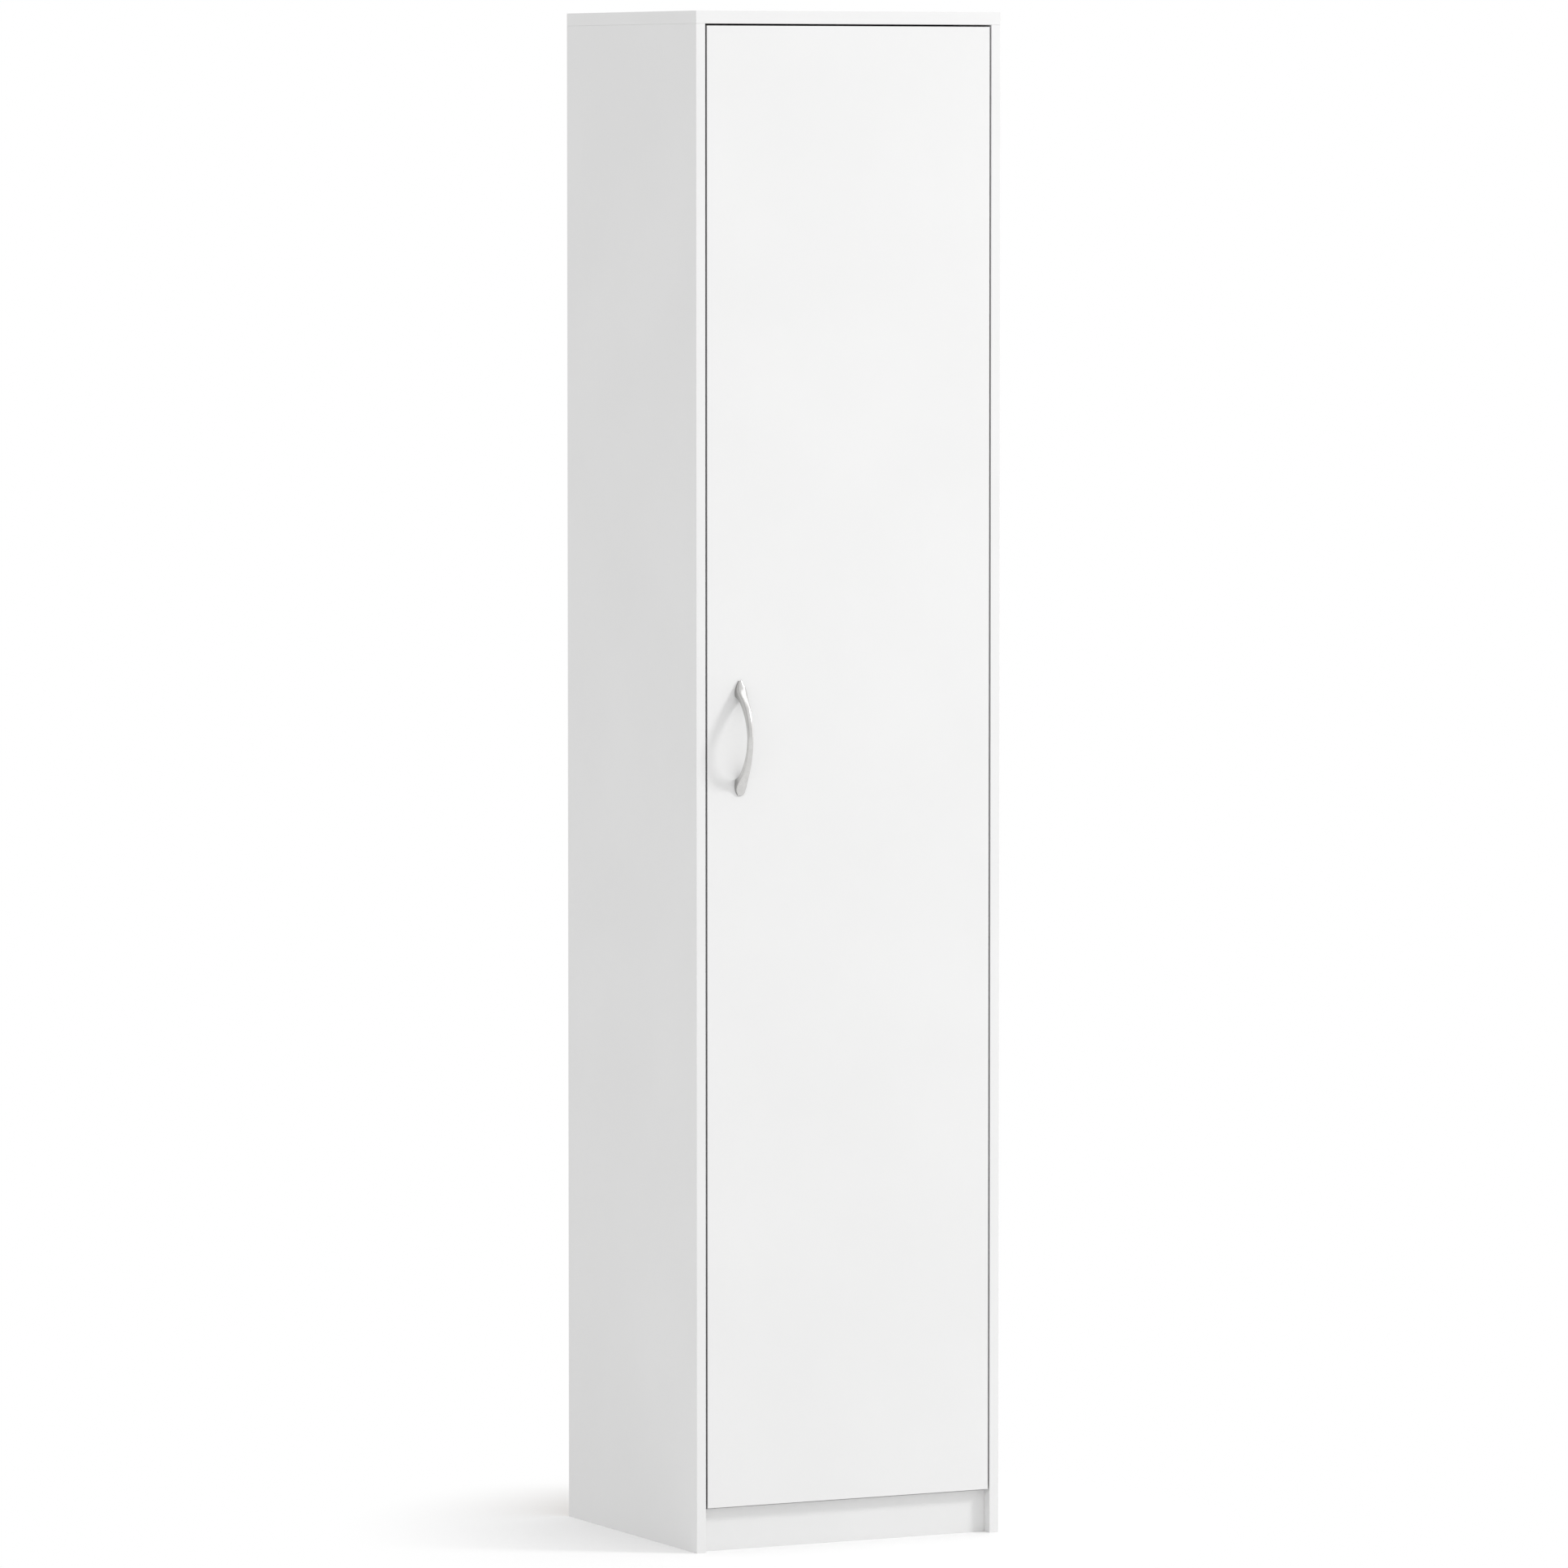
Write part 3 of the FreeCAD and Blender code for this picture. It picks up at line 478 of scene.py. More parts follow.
cast_zinc = new_finish("cast_zinc", (0.56, 0.57, 0.58), 0.5, 1.0)
vary_colour(cast_zinc, add_noise(cast_zinc, 350.0), (0.50, 0.51, 0.52), (0.62, 0.63, 0.64))
vary_gloss(cast_zinc, add_noise(cast_zinc, 500.0), 0.42, 0.6)
add_relief(cast_zinc, add_noise(cast_zinc, 1100.0), 0.08 * mm, 0.5)

spring_steel = new_finish("dark_spring_steel", (0.30, 0.30, 0.31), 0.35, 1.0)
vary_colour(spring_steel, add_noise(spring_steel, 220.0), (0.25, 0.25, 0.265), (0.36, 0.355, 0.35))
vary_gloss(spring_steel, add_noise(spring_steel, 700.0, stretch=(1.0, 0.1, 1.0)), 0.28, 0.42)
print("made", bright_nickel.name, plated_steel.name, cast_zinc.name, spring_steel.name)

# %% Make the galvanised sheet
galvanised = new_finish("galvanised_sheet", (0.64, 0.65, 0.66), 0.38, 1.0)
sheet_tree = galvanised.node_tree
flake_place = sheet_tree.nodes.new("ShaderNodeTexCoord")
flakes = sheet_tree.nodes.new("ShaderNodeTexVoronoi")
flakes.inputs["Scale"].default_value = 260.0
sheet_tree.links.new(flake_place.outputs["Object"], flakes.inputs["Vector"])
flake_tone = sheet_tree.nodes.new("ShaderNodeSeparateColor")
sheet_tree.links.new(flakes.outputs["Color"], flake_tone.inputs["Color"])
vary_colour(galvanised, flake_tone, (0.56, 0.575, 0.59), (0.71, 0.715, 0.72), low=0.0, high=1.0)
vary_gloss(galvanised, flake_tone, 0.32, 0.46)
print("made", galvanised.name, "with", flakes.inputs["Scale"].default_value, "flakes to a metre")

# %% [markdown]
# ## Plastic, silicone and beech
# Stop blocks and cover caps are moulded in matt white plastic with a fine spark-eroded skin.
# The bumpers are soft and half clear, so some light passes through their shader. The dowels
# are beech, with long pores along the grain, which is noise stretched along the dowel.

# %% Make the plastics and the wood
white_plastic = new_finish("matt_white_plastic", (0.82, 0.82, 0.81), 0.5)
vary_colour(white_plastic, add_noise(white_plastic, 60.0), (0.805, 0.805, 0.795), (0.83, 0.83, 0.82))
vary_gloss(white_plastic, add_noise(white_plastic, 400.0), 0.44, 0.56)
add_relief(white_plastic, add_noise(white_plastic, 2500.0, detail=2.0), 0.05 * mm, 0.4)

silicone = new_finish("clear_silicone", (0.80, 0.80, 0.79), 0.3)
socket(silicone, "Transmission Weight").default_value = 0.4
socket(silicone, "IOR").default_value = 1.41
vary_gloss(silicone, add_noise(silicone, 500.0), 0.25, 0.38)
add_relief(silicone, add_noise(silicone, 800.0), 0.05 * mm, 0.3)

beech = new_finish("fluted_beech", (0.60, 0.42, 0.26), 0.6)
grain = add_noise(beech, 900.0, stretch=(0.06, 1.0, 1.0), detail=4.0)
vary_colour(beech, grain, (0.47, 0.30, 0.17), (0.66, 0.48, 0.31))
vary_gloss(beech, grain, 0.52, 0.7)
add_relief(beech, grain, 0.1 * mm, 0.4)
print("made", white_plastic.name, silicone.name, beech.name)

# %% [markdown]
# ## Words for making pieces
# A piece starts as a primitive at its size and place. Faces and edges are then chosen in code
# by where they are or where they point, and an operator acts on what is chosen, as it does by
# hand. The same few steps come back for every piece, so each has a small helper. More helpers
# follow where they are first needed.

# %% Helpers to start a piece
def only(piece):
    """Deselect everything else and make one piece active."""
    bpy.ops.object.select_all(action="DESELECT")
    piece.select_set(True)
    bpy.context.view_layer.objects.active = piece


def settle(name):
    """Name the active piece and move its place, turn and size into its mesh."""
    piece = bpy.context.object
    piece.name = name
    bpy.ops.object.transform_apply(location=True, rotation=True, scale=True)
    return piece


def start_block(name, low, high):
    """A cube primitive between two opposite corners."""
    middle = (Vector(low) + Vector(high)) / 2
    bpy.ops.mesh.primitive_cube_add(size=1, location=middle, scale=Vector(high) - Vector(low))
    return settle(name)


print("ready to start pieces")

# %% Helpers to round edges
def edit_nothing(piece, kind):
    """Enter edit mode with nothing chosen, and come back out to choose in code."""
    only(piece)
    bpy.ops.object.mode_set(mode="EDIT")
    bpy.ops.mesh.select_mode(type=kind)
    bpy.ops.mesh.select_all(action="DESELECT")
    bpy.ops.object.mode_set(mode="OBJECT")


def choose_edges(piece, test):
    """Enter edit mode with the edges chosen whose two ends pass a test."""
    edit_nothing(piece, "EDGE")
    spots = piece.data.vertices
    for edge in piece.data.edges:
        edge.select = test(spots[edge.vertices[0]].co, spots[edge.vertices[1]].co)
    bpy.ops.object.mode_set(mode="EDIT")


def round_edges(piece, width, steps, test=lambda a, b: True):
    """Bevel the edges that pass a test."""
    choose_edges(piece, test)
    bpy.ops.mesh.bevel(offset=width, segments=steps, affect="EDGES", clamp_overlap=True)
    bpy.ops.object.mode_set(mode="OBJECT")


print("ready to round edges")

# %% [markdown]
# ## The boards
# Each board is cut to the box of its node, then its edges are rounded as an edge bander
# leaves them. A plain cube has knife edges that catch no light, and the rounding is what
# draws the thin line between the top and the side. Edges on the floor stay sharp, so that no
# light gets under them. The door leaf is trimmed by half a millimetre all round, so that the
# gap draws as strong a line as it does in the picture.

# %% Cut the boards
edge_round = 0.45 * mm
door_trim = 0.5 * mm
near_floor_z = 0.1 * mm


def make_board(name, node, trim=0.0):
    """A block as large as a node, or trimmed round its front, with rounded edges."""
    low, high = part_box(node)
    margin = Vector((trim, 0, trim))
    board = start_block(name, low + margin, high - margin)
    round_edges(board, edge_round, steps=3, test=lambda a, b: max(a.z, b.z) > near_floor_z)
    return board


side_left = make_board("left_side_board", "side_panel_left")
side_right = make_board("right_side_board", "side_panel_right")
top_board = make_board("top_board", "top_panel")
bottom_board = make_board("bottom_board", "bottom_panel")
shelf_board = make_board("shelf_board", "fixed_shelf")
plinth_front = make_board("plinth_front", "plinth_board")
door_leaf = make_board("door_leaf", "door_panel", door_trim)
print("cut 7 boards, the door leaf measures", in_mm(door_leaf.dimensions), "mm")

# %% [markdown]
# ## Grooves and bores
# A groove near the rear edge of the sides and the top holds the back sheet. The boards also
# have round pockets for the cam locks, and the door has three cup holes for its hinges. Holes
# could be drawn into the faces by hand, but a boolean cuts as a drill does, wherever the hole
# falls. The cuts keep the fittings from standing inside solid board.

# %% Helpers to cut
drill_run_in = 1.0 * mm
drill_sides = 40


def start_disc(name, base, way, radius, height, sides=32):
    """A cylinder primitive that stands on a point and rises along a direction."""
    way = Vector(way)
    turn = way.to_track_quat("Z", "Y").to_euler()
    middle = Vector(base) + way * (height / 2)
    bpy.ops.mesh.primitive_cylinder_add(vertices=sides, radius=radius, depth=height,
                                        location=middle, rotation=turn)
    return settle(name)


def cut_away(piece, cutter):
    """Take one piece out of another and throw the cutter away."""
    only(piece)
    cut = piece.modifiers.new("cut", "BOOLEAN")
    cut.operation = "DIFFERENCE"
    cut.solver = "EXACT"
    cut.object = cutter
    bpy.ops.object.modifier_apply(modifier=cut.name)
    bpy.data.objects.remove(cutter)


def bore(piece, mouth, way, diameter, depth):
    """Drill a round hole into a face, starting a little above it."""
    base = Vector(mouth) - Vector(way) * drill_run_in
    cut_away(piece, start_disc("drill", base, way, diameter / 2, depth + drill_run_in, drill_sides))


print("ready to cut")

# %% Cut the grooves
sheet_low, sheet_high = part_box("back_panel")
groove_play = 0.2 * mm
groove_end_play = 0.5 * mm
groove_run_out = 60 * mm
groove_low = sheet_low - Vector((groove_end_play, groove_play, groove_run_out))
groove_high = sheet_high + Vector((groove_end_play, groove_play, groove_end_play))
for board in (side_left, side_right, top_board):
    cut_away(board, start_block("groove_cutter", groove_low, groove_high))
print("the groove is", in_mm(groove_high - groove_low)[1], "mm wide")

# %% Bore the cam pockets
cap_low, cap_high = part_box("cam_caps")
cap_radius = 7 * mm
cap_z = (cap_low.z + cap_high.z) / 2
cam_ys = (cap_low.y + cap_radius, cap_high.y - cap_radius)
cam_x = 164 * mm
plinth_cam_z = 18 * mm
pocket_diameter = 12.1 * mm
pocket_depth = 10.05 * mm
inside_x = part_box("side_panel_right")[0].x
plinth_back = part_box("plinth_board")[1].y
for side, side_board in ((-1, side_left), (1, side_right)):
    for y in cam_ys:
        for board in (shelf_board, bottom_board):
            under = min(spot.co.z for spot in board.data.vertices)
            bore(board, (side * cam_x, y, under), (0, 0, 1), pocket_diameter, pocket_depth)
        bore(side_board, (side * inside_x, y, cap_z), (side, 0, 0), pocket_diameter, pocket_depth)
    bore(plinth_front, (side * cam_x, plinth_back, plinth_cam_z), (0, -1, 0), pocket_diameter, pocket_depth)
print("bored the cam pockets", in_mm(cam_ys), "mm from the middle")

# %% Bore the hinge cups
hinge_places = {}
for place in ("bottom", "middle", "top"):
    low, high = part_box("hinge_cup_" + place)
    hinge_places[place] = (low.z + high.z) / 2
cup_rim = 12.95 * mm
cup_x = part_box("hinge_cup_middle")[1].x - cup_rim
cup_hole = 26 * mm
cup_hole_depth = 10.3 * mm
door_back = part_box("door_panel")[1].y
for z in hinge_places.values():
    bore(door_leaf, (cup_x, door_back, z), (0, -1, 0), cup_hole, cup_hole_depth)
print("bored the hinge cups at heights of", in_mm(hinge_places.values()), "mm")

# %% [markdown]
# ## Finishing and handing over
# A finish goes on a whole piece, or on the faces that pass a test. Board faces get the
# melamine, front edges the band, and edges that face the wall or the floor stay bare. Then a
# piece is shaded smooth and handed over: it rides on the body that holds its node, which is
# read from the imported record, and stands for that node. So a door piece always turns with the
# door.

# %% Helpers to paint a piece
def choose_faces(piece, test):
    """Enter edit mode with the faces chosen whose centre and normal pass a test."""
    edit_nothing(piece, "FACE")
    for face in piece.data.polygons:
        face.select = test(face.center, face.normal)
    bpy.ops.object.mode_set(mode="EDIT")


def paint(piece, finish, test=None):
    """Give a finish to the whole piece, or to the faces that pass a test."""
    piece.data.materials.append(finish)
    if test is None:
        return
    choose_faces(piece, test)
    piece.active_material_index = len(piece.data.materials) - 1
    bpy.ops.object.material_slot_assign()
    bpy.ops.object.mode_set(mode="OBJECT")


print("ready to paint pieces")

# %% Helper to hand a piece over
body_of_node = {}
for body, members in frame["record"]["behaviour"]["bodies"].items():
    for member in members:
        body_of_node[member] = body


def hand_over(piece, node):
    """Smooth the piece, let it ride on its body and stand for its node."""
    only(piece)
    bpy.ops.object.shade_smooth_by_angle(angle=math.radians(35))
    even = piece.modifiers.new("even_normals", "WEIGHTED_NORMAL")
    even.weight = 100
    even.keep_sharp = True
    bpy.ops.object.modifier_apply(modifier=even.name)
    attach(piece, body_of_node[node])
    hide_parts(node)
    print(piece.name, "has", len(piece.data.polygons), "faces and rides on", body_of_node[node])


print("ready to hand over pieces for", len(body_of_node), "nodes")

# %% Finish the boards
mostly = 0.9


def facing(axis, sign=0):
    """A test for faces that point along an axis, either way or one way."""
    def test(centre, normal):
        return (normal[axis] * sign if sign else abs(normal[axis])) > mostly
    return test


bare_rear = (chipboard, facing(1, 1))
bare_foot = (chipboard, facing(2, -1))
# The door's side, top and bottom edges get the band with painted shade.
painted_shade_edges = ((door_edge_painted_shade, facing(0)), (door_edge_painted_shade, facing(2)))
for board, node, face_axis, other_finishes in (
        (side_left, "side_panel_left", 0, (bare_rear, bare_foot)),
        (side_right, "side_panel_right", 0, (bare_rear, bare_foot)),
        (top_board, "top_panel", 2, (bare_rear,)),
        (bottom_board, "bottom_panel", 2, (bare_rear,)),
        (shelf_board, "fixed_shelf", 2, (bare_rear,)),
        (plinth_front, "plinth_board", 1, (bare_foot,)),
        (door_leaf, "door_panel", 1, painted_shade_edges)):
    paint(board, edge_band)
    paint(board, melamine, facing(face_axis))
    for finish, test in other_finishes:
        paint(board, finish, test)
    hand_over(board, node)

# %% [markdown]
# ## The bow handle
# The handle is one cast bow: a slim strap in the middle that swells into two flat feet and
# ends in short tips, the upper one slimmer. It could be a bent curve with a bevel, but a curve
# keeps one section all the way. So one section is drawn, a square with a narrower, rounded
# front, and is extruded up the bow from station to station, wider and deeper towards the feet.
# A station tells its height from the middle, how far its front and its back stand out from
# the door, and its width, all in millimetres.

# %% Set out the stations of the bow
bow_low, bow_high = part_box("bow_handle")
bow_aside = 1.0 * mm
bow_x = (bow_low.x + bow_high.x) / 2 + bow_aside
bow_z = (bow_low.z + bow_high.z) / 2
door_face = bow_high.y
half_bow = [
    (71.0, 0.8, -3.4, 5.4), (67.0, 2.2, -3.4, 8.6), (64.6, 3.1, -3.8, 12.0), (62.0, 4.0, -4.4, 14.4),
    (59.0, 5.3, -5.4, 15.5), (56.0, 7.0, -6.0, 15.6), (52.5, 9.6, -5.0, 14.9), (49.0, 12.5, -1.6, 13.3),
    (47.0, 14.1, 2.4, 12.2), (45.0, 15.6, 6.0, 11.1), (41.0, 18.5, 9.9, 10.0), (36.0, 21.5, 13.6, 9.2),
    (31.0, 23.9, 17.0, 8.6), (22.0, 27.2, 21.9, 7.9), (11.0, 29.5, 25.5, 7.6), (0.0, 30.15, 26.8, 7.6),
]
upper_tip_widths = (2.6, 5.4, 8.0, 10.6, 13.2, 15.2)
upper_bow = list(half_bow[:-1])
for step, width in enumerate(upper_tip_widths):
    upper_bow[step] = (*half_bow[step][:3], width)
stations = [(-height, out, back, width) for height, out, back, width in half_bow]
stations += reversed(upper_bow)


def station_middle(height, out, back):
    """The middle of the section at a station."""
    return Vector((bow_x, door_face - (out + back) / 2 * mm, bow_z + height * mm))


print("the bow runs through", len(stations), "stations")

# %% Draw the section of the bow
front_narrowing = 0.8
front_round = 0.22 * mm
back_round = 0.08 * mm
corner_reach = 0.45 * mm
start = station_middle(*stations[0][:3])
bpy.ops.mesh.primitive_plane_add(size=1 * mm, location=start)
handle = settle("bow_handle_cast")
for side, narrowing, rounding in ((-1, front_narrowing, front_round), (1, 1.0, back_round)):
    edit_nothing(handle, "VERT")
    for spot in handle.data.vertices:
        spot.select = (spot.co.y - start.y) * side > corner_reach
    bpy.ops.object.mode_set(mode="EDIT")
    bpy.ops.transform.resize(value=(narrowing, 1, 1), center_override=start)
    bpy.ops.mesh.bevel(offset=rounding, segments=3, affect="VERTICES")
    bpy.ops.object.mode_set(mode="OBJECT")
print("the section has", len(handle.data.vertices), "corners")

# %% Draw the section up the bow
def draw_out(way):
    """Extrude the chosen faces along a way."""
    bpy.ops.mesh.extrude_region_move(TRANSFORM_OT_translate={"value": way})


here = start
width_here = 1.0
depth_here = 1.0
choose_faces(handle, lambda centre, normal: True)
for height, out, back, width in stations:
    there = station_middle(height, out, back)
    if there != start:
        draw_out(there - here)
    growth = (width / width_here, (out - back) / depth_here, 1)
    bpy.ops.transform.resize(value=growth, center_override=there)
    here = there
    width_here = width
    depth_here = out - back
bpy.ops.mesh.select_all(action="SELECT")
bpy.ops.mesh.normals_make_consistent(inside=False)
bpy.ops.object.mode_set(mode="OBJECT")
smooth = handle.modifiers.new("smooth", "SUBSURF")
smooth.levels = 2
smooth.render_levels = 2
bpy.ops.object.modifier_apply(modifier=smooth.name)
print("drawn and smoothed into", len(handle.data.polygons), "faces")

# %% [markdown]
# ## Flat feet and blunt tips
# The drawn bow runs on into the door and past its ends. Booleans could trim it, but three cuts
# with bisect are enough. They make the feet flat on the door and the tips blunt, and each cut
# is filled at once, so the bow stays closed.

# %% Cut the feet and the tips
for plane, normal in (((bow_x, door_face, bow_z), (0, 1, 0)),
                      ((bow_x, door_face, bow_high.z), (0, 0, 1)),
                      ((bow_x, door_face, bow_low.z), (0, 0, -1))):
    bpy.ops.object.mode_set(mode="EDIT")
    bpy.ops.mesh.select_all(action="SELECT")
    bpy.ops.mesh.bisect(plane_co=plane, plane_no=normal, use_fill=True, clear_outer=True)
    bpy.ops.object.mode_set(mode="OBJECT")
paint(handle, satin_nickel)
hand_over(handle, "bow_handle")
print("the handle measures", in_mm(handle.dimensions), "mm")

# %% [markdown]
# ## Screws
# All the screws have the same pan head with a cross recess, and a shank that tapers to a
# point. They could be turned by a spin of their outline, but a disc is closed from the start:
# its rim is rounded, its foot inset and drawn out into the shank, and a cross cut into its
# crown. One is modelled for each set, and copies of it go to every place, turned to look out
# of the face that they hold.

# %% Helpers for round heads
hair = 0.01 * mm


def start_head(name, radius, height, rounding, steps, sides=32):
    """A disc that stands on the XY plane, with its upper rim rounded."""
    head = start_disc(name, (0, 0, 0), (0, 0, 1), radius, height, sides)
    crown = height - hair
    round_edges(head, rounding, steps, lambda a, b: a.z > crown and b.z > crown)
    return head


def draw_shank(head, rim, body, tip, taper):
    """Inset the foot of a head and draw it down into a shank with a tapered tip."""
    choose_faces(head, facing(2, -1))
    bpy.ops.mesh.inset(thickness=rim)
    for run in (body, tip):
        draw_out((0, 0, -run))
    bpy.ops.transform.resize(value=(taper, taper, 1), center_override=(0, 0, -body - tip))
    bpy.ops.object.mode_set(mode="OBJECT")


print("ready to model heads and shanks")

# %% Helpers for cross screws
def make_cross(size, arm, depth, height):
    """A plus-shaped cutter at a height: a small block with its four sides drawn out."""
    middle = Vector((0, 0, height))
    reach = Vector((arm / 2, arm / 2, depth))
    cross = start_block("cross_cutter", middle - reach, middle + reach)
    choose_faces(cross, lambda centre, normal: abs(normal.z) < mostly)
    bpy.ops.mesh.extrude_faces_move(TRANSFORM_OT_shrink_fatten={"value": (size - arm) / 2})
    bpy.ops.object.mode_set(mode="OBJECT")
    return cross


def make_screw(head_radius, head_height, shank_radius, shank_length):
    """A pan-head screw that stands on the XY plane, head up and shank down."""
    screw = start_head("screw", head_radius, head_height, rounding=0.65 * head_height, steps=4)
    draw_shank(screw, rim=head_radius - shank_radius, body=0.8 * shank_length,
               tip=0.2 * shank_length, taper=0.25)
    cross = make_cross(size=1.05 * head_radius, arm=0.26 * head_radius,
                       depth=0.6 * head_height, height=head_height)
    cut_away(screw, cross)
    return screw


print("ready to model cross screws")

# %% Helpers to copy a piece
def join_copies(name, model, places):
    """Copy a model to several places, each turned from +Z to a direction, and join the copies."""
    copies = []
    for spot, way in places:
        copy = model.copy()
        copy.data = model.data.copy()
        scene.collection.objects.link(copy)
        copy.location = spot
        copy.rotation_euler = Vector(way).to_track_quat("Z", "Y").to_euler()
        copies.append(copy)
    bpy.data.objects.remove(model)
    only(copies[0])
    for copy in copies[1:]:
        copy.select_set(True)
    bpy.ops.object.join()
    return settle(name)


def place_screws(node, finish, screw, places):
    """Copy a screw to its places and let the copies stand for their node."""
    screws = join_copies(node.replace("_screws", "_cross_screws"), screw, places)
    paint(screws, finish)
    hand_over(screws, node)


print("ready to copy pieces to their places")

# %% Place the wood screws of the hinges
wood_screw = {"head_radius": 3.4 * mm, "head_height": 2.0 * mm, "shank_radius": 1.7 * mm}
wing_screw_x = cup_x - 5.5 * mm
wing_face = door_back + 1.2 * mm
plate_face = inside_x - 2 * mm
plate_screw_y = door_back + 37 * mm
for node, shank_length, x, y, rise, way in (
        ("hinge_cup_screws", 9.2 * mm, wing_screw_x, wing_face, 19 * mm, (0, 1, 0)),
        ("hinge_plate_screws", 12 * mm, plate_face, plate_screw_y, 16 * mm, (-1, 0, 0))):
    screw = make_screw(**wood_screw, shank_length=shank_length)
    places = [((x, y, z + side * rise), way) for z in hinge_places.values() for side in (-1, 1)]
    place_screws(node, plated_steel, screw, places)

# %% Place the screws of the stops and the brackets
stop_low, stop_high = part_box("door_stop_blocks")
stop_y = (stop_low.y + stop_high.y) / 2
stop_heights = (hinge_places["bottom"], hinge_places["top"])
stop_screw = make_screw(**wood_screw, shank_length=21.8 * mm)
place_screws("door_stop_screws", plated_steel, stop_screw,
             [((stop_high.x, stop_y, z), (1, 0, 0)) for z in stop_heights])

bracket_low, bracket_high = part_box("wall_bracket_right")
bracket_x = (bracket_low.x + bracket_high.x) / 2
bracket_sheet = 2 * mm
bracket_face = bracket_high.z - bracket_sheet
bracket_screw_ys = (bracket_low.y + 9 * mm, bracket_low.y + 27 * mm)
bracket_screw = make_screw(**wood_screw, shank_length=12 * mm)
place_screws("wall_bracket_screws", plated_steel, bracket_screw,
             [((side * bracket_x, y, bracket_face), (0, 0, -1))
              for side in (-1, 1) for y in bracket_screw_ys])

# %% Place the machine screws
handle_screw_low, handle_screw_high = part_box("handle_screws")
handle_screw_x = (handle_screw_low.x + handle_screw_high.x) / 2
handle_screw_rise = 56 * mm
handle_screw = make_screw(head_radius=4.0 * mm, head_height=2.4 * mm,
                          shank_radius=1.9 * mm, shank_length=16.3 * mm)
place_screws("handle_screws", plated_steel, handle_screw,
             [((handle_screw_x, door_back, bow_z + side * handle_screw_rise), (0, 1, 0))
              for side in (-1, 1)])

arm_face = inside_x - 13 * mm
arm_screw_ys = (door_back + 31 * mm, door_back + 47 * mm)
arm_screw = make_screw(head_radius=3.4 * mm, head_height=1.6 * mm,
                       shank_radius=1.9 * mm, shank_length=8.1 * mm)
place_screws("hinge_arm_screws", bright_nickel, arm_screw,
             [((arm_face, y, z), (-1, 0, 0)) for z in hinge_places.values() for y in arm_screw_ys])

# %% [markdown]
# ## The back sheet and its nails
# The back is one thin sheet. Its front is lacquered white and its rear is bare brown fibre.
# Two layers could show that, but one block with two finishes stays one piece. Two holes let
# the wall screws through to the brackets. Nails hold it to the bottom and the shelf. A nail is
# made as a screw is, with a flat head and no cross.

# %% Make the back sheet
wall_hole_z = bracket_high.z - 24 * mm
back_sheet = start_block("back_sheet", sheet_low, sheet_high)
round_edges(back_sheet, width=0.3 * mm, steps=2)
for side in (-1, 1):
    mouth = (side * bracket_x, sheet_high.y, wall_hole_z)
    bore(back_sheet, mouth, (0, -1, 0), diameter=9 * mm, depth=6 * mm)
paint(back_sheet, fibreboard)
paint(back_sheet, lacquer, facing(1, -1))
hand_over(back_sheet, "back_panel")

# %% Drive the nails
nail_low, nail_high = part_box("panel_nails")
nail_radius = 2.0 * mm
nail = start_head("nail", nail_radius, height=0.8 * mm, rounding=0.5 * mm, steps=3, sides=24)
draw_shank(nail, rim=1.2 * mm, body=16 * mm, tip=2 * mm, taper=0.2)
nail_x = nail_high.x - nail_radius
nail_heights = (nail_low.z + nail_radius, nail_high.z - nail_radius)
nail_places = [((x, sheet_high.y, z), (0, 1, 0)) for z in nail_heights for x in (-nail_x, 0, nail_x)]
nails = join_copies("back_sheet_nails", nail, nail_places)
paint(nails, plated_steel)
hand_over(nails, "panel_nails")

# %% [markdown]
# ## The wall brackets
# Under the top, near the back, two bent steel straps take a screw into the wall. Each could be
# two blocks joined, but a strap is bent from one piece. So it starts as its lying leg, and the
# end is drawn down into the standing leg. The outer bend is rounded, as bent sheet is, and so
# are the corners of both ends.

# %% Model the wall brackets
def make_bracket(name, node):
    """A bent strap in the box of its node, with one hole for the wall screw."""
    low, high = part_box(node)
    inner = high.y - bracket_sheet
    strap = start_block(name, (low.x, low.y, high.z - bracket_sheet), (high.x, inner, high.z))
    choose_faces(strap, facing(1, 1))
    draw_out((0, bracket_sheet, 0))
    bpy.ops.object.mode_set(mode="OBJECT")
    choose_faces(strap, lambda centre, normal: normal.z < -mostly and centre.y > inner)
    draw_out((0, 0, low.z - high.z + bracket_sheet))
    bpy.ops.object.mode_set(mode="OBJECT")

    def outer_bend(a, b):
        return min(a.y, b.y) > high.y - hair and min(a.z, b.z) > high.z - hair

    def end_corner(a, b):
        lying = max(a.y, b.y) < low.y + hair and abs(a.z - b.z) > hair
        standing = max(a.z, b.z) < low.z + hair and abs(a.y - b.y) > hair
        return lying or standing

    round_edges(strap, width=1.9 * mm, steps=5, test=outer_bend)
    round_edges(strap, width=4 * mm, steps=6, test=end_corner)
    mouth = ((low.x + high.x) / 2, high.y, wall_hole_z)
    bore(strap, mouth, (0, -1, 0), diameter=6 * mm, depth=4 * mm)
    paint(strap, galvanised)
    hand_over(strap, node)


make_bracket("wall_strap_left", "wall_bracket_left")
make_bracket("wall_strap_right", "wall_bracket_right")

# %% [markdown]
# ## Stops, bumpers and cover caps
# The free edge of the door shuts against two plastic blocks with a soft bumper on each. The
# blocks are moulded, so their free edges are round, and a shallow pan is sunk into the face
# that carries the screw. Bumpers are small domes, and the cover caps over the upper cams are
# thin discs with a raised rim. Each could be modelled in its place, but one that looks up is
# easier to shape, and its copies are turned to their places.

# %% Model the door stops
quite_level = 0.99


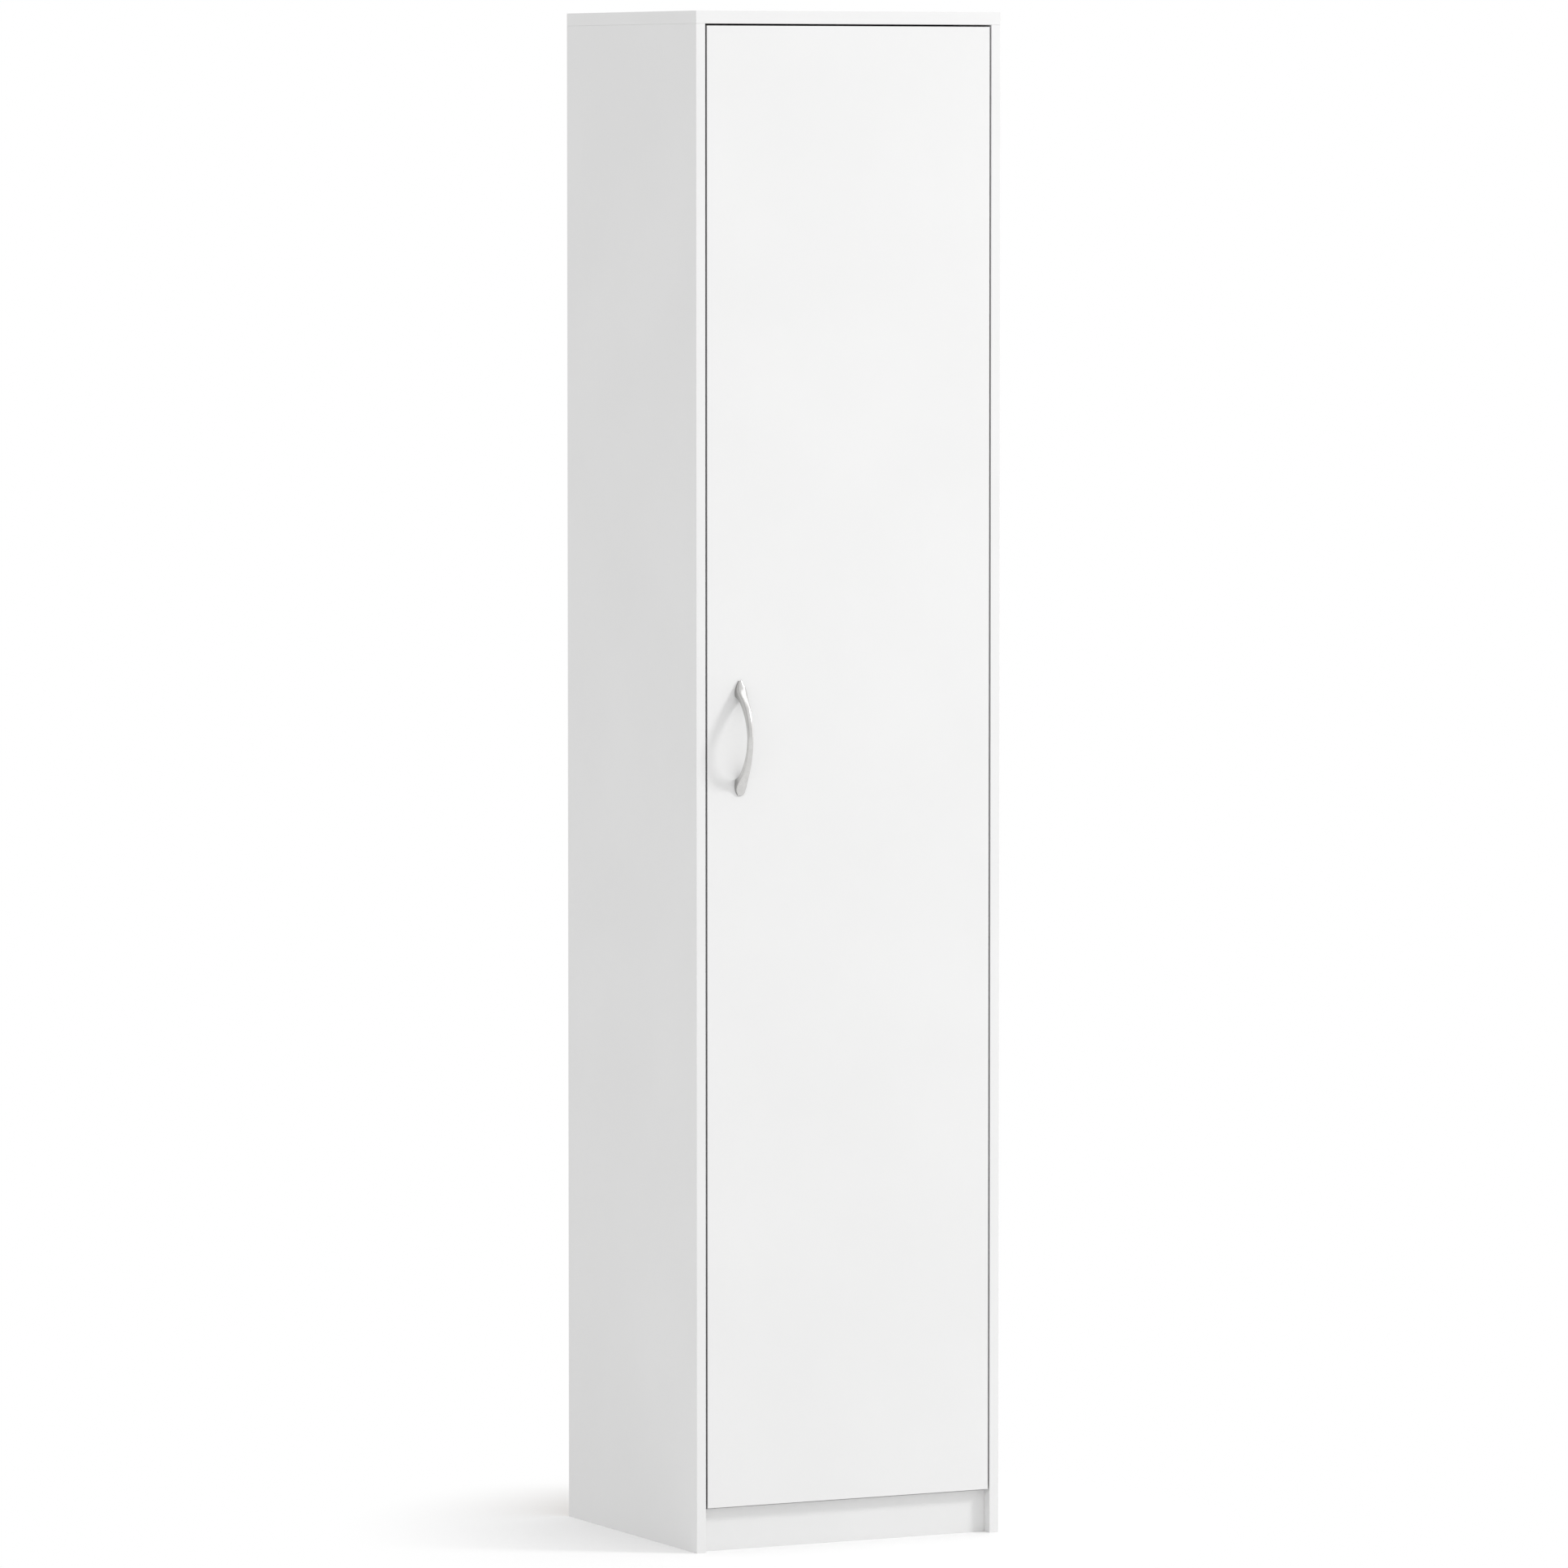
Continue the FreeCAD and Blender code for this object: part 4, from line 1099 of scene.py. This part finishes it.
def sink_pan(piece, rim, depth):
    """Sink a shallow pan into the level upper face, inside a rim."""
    choose_faces(piece, lambda centre, normal: normal.z > quite_level)
    bpy.ops.mesh.inset(thickness=rim)
    draw_out((0, 0, -depth))
    bpy.ops.object.mode_set(mode="OBJECT")


half_stop = Vector((stop_high.y - stop_y, 14 * mm, 0))
stop_thickness = Vector((0, 0, stop_high.x - stop_low.x))
stop_end = half_stop.y - hair


def free_edge(a, b):
    """A test for the outer edges of a stop, apart from those on the board that carries it."""
    return max(a.z, b.z) > hair and max(abs(a.y), abs(b.y)) > stop_end


stop = start_block("stop", -half_stop, half_stop + stop_thickness)
sink_pan(stop, rim=2.2 * mm, depth=0.35 * mm)
round_edges(stop, width=0.8 * mm, steps=3, test=free_edge)
stops = join_copies("door_stop_pair", stop, [((stop_low.x, stop_y, z), (1, 0, 0)) for z in stop_heights])
paint(stops, white_plastic)
hand_over(stops, "door_stop_blocks")

# %% Model the bumpers and the caps
bumper_low, bumper_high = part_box("door_bumpers")
bumper_x = (bumper_low.x + bumper_high.x) / 2
bumper = start_head("bumper", radius=4 * mm, height=1.3 * mm, rounding=1.1 * mm, steps=5)
bumper_places = [((bumper_x, bumper_high.y, z), (0, -1, 0)) for z in stop_heights]
bumpers = join_copies("soft_bumpers", bumper, bumper_places)
paint(bumpers, silicone)
hand_over(bumpers, "door_bumpers")

cap = start_head("cap", cap_radius, height=0.8 * mm, rounding=0.4 * mm, steps=3, sides=48)
sink_pan(cap, rim=1.2 * mm, depth=0.2 * mm)
cap_places = [((side * inside_x, y, cap_z), (-side, 0, 0)) for side in (-1, 1) for y in cam_ys]
caps = join_copies("cover_caps", cap, cap_places)
paint(caps, white_plastic)
hand_over(caps, "cam_caps")

# %% [markdown]
# ## The hinges
# The hinge pieces are pressed and folded steel. They could be modelled anew, but the packed
# model has their true shapes, only with sharp edges. Pressed steel always has a small round
# where it was sheared, so each piece is copied, its loose triangles are merged and cleared to
# plain faces, and a narrow bevel rounds every sharp edge. The node itself is left as it is.

# %% Helpers for pressed steel
def merged_copy(name, node):
    """A copy of a node with its loose triangles merged into plain faces."""
    piece = nodes[node].copy()
    piece.data = nodes[node].data.copy()
    piece.data.materials.clear()
    piece.parent = None
    for key in list(piece.keys()):
        del piece[key]
    scene.collection.objects.link(piece)
    piece.name = name
    only(piece)
    bpy.ops.object.mode_set(mode="EDIT")
    bpy.ops.mesh.select_all(action="SELECT")
    bpy.ops.mesh.remove_doubles(threshold=0.001 * mm)
    bpy.ops.mesh.dissolve_limited(angle_limit=math.radians(1))
    bpy.ops.object.mode_set(mode="OBJECT")
    return piece


def soften(piece, width):
    """Round every sharp edge a little, as the press leaves it."""
    only(piece)
    rounding = piece.modifiers.new("rounding", "BEVEL")
    rounding.width = width
    rounding.segments = 2
    rounding.limit_method = "ANGLE"
    rounding.angle_limit = math.radians(40)
    bpy.ops.object.modifier_apply(modifier=rounding.name)


print("ready to soften pressed steel")

# %% Helper for rounded wings
wing_round = 2.5 * mm
wing_end = 0.05 * mm
shortest_corner = 0.5 * mm
quite_straight = 0.98


def round_wing_corners(piece, axis):
    """Round the corners at the upper and lower ends of a plate that is thin along an axis."""
    heights = [spot.co.z for spot in piece.data.vertices]
    lower_end = min(heights) + wing_end
    upper_end = max(heights) - wing_end

    def wing_corner(a, b):
        across = b - a
        at_end = max(a.z, b.z) < lower_end or min(a.z, b.z) > upper_end
        through = abs(across[axis]) > quite_straight * across.length
        return at_end and through and across.length > shortest_corner

    round_edges(piece, wing_round, steps=5, test=wing_corner)


print("wings get corners of", wing_round / mm, "mm")

# %% Round the hinge pieces
press_rounds = {"cup": 0.2 * mm, "arm": 0.25 * mm, "plate": 0.3 * mm,
                "inner_link": 0.2 * mm, "outer_link": 0.2 * mm}
thin_axis = {"cup": 1, "plate": 0}
for place in hinge_places:
    for part, width in press_rounds.items():
        node = "hinge_" + part + "_" + place
        piece = merged_copy(node + "_pressed", node)
        if part in thin_axis:
            round_wing_corners(piece, thin_axis[part])
        soften(piece, width)
        paint(piece, bright_nickel)
        hand_over(piece, node)

# %% [markdown]
# ## The hidden fittings
# Cams, bolts, dowels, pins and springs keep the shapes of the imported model, because they are
# turned or cast parts that mostly sit inside the boards. They only get their metal or wood.

# %% Finish the hidden fittings
hidden_finishes = {
    "cam_locks": cast_zinc, "cam_bolts": plated_steel, "dowels": beech, "hinge_springs": spring_steel,
    "hinge_inner_arm_pins": plated_steel, "hinge_outer_arm_pins": plated_steel,
    "hinge_inner_cup_pins": plated_steel, "hinge_outer_cup_pins": plated_steel,
}
for node, finish in hidden_finishes.items():
    nodes[node].data.materials.clear()
    nodes[node].data.materials.append(finish)
print("finished", len(hidden_finishes), "nodes of the packed model")

# %% [markdown]
# ## The size
# The box of the dressed cupboard is printed, as the box of the imported one was at the start,
# so that the two can be set side by side. The dressed cupboard must not be larger than the
# imported one.

# %% Print the dressed box
dressed_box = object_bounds()
print("dressed from", in_mm(dressed_box[0]), "to", in_mm(dressed_box[1]), "mm")
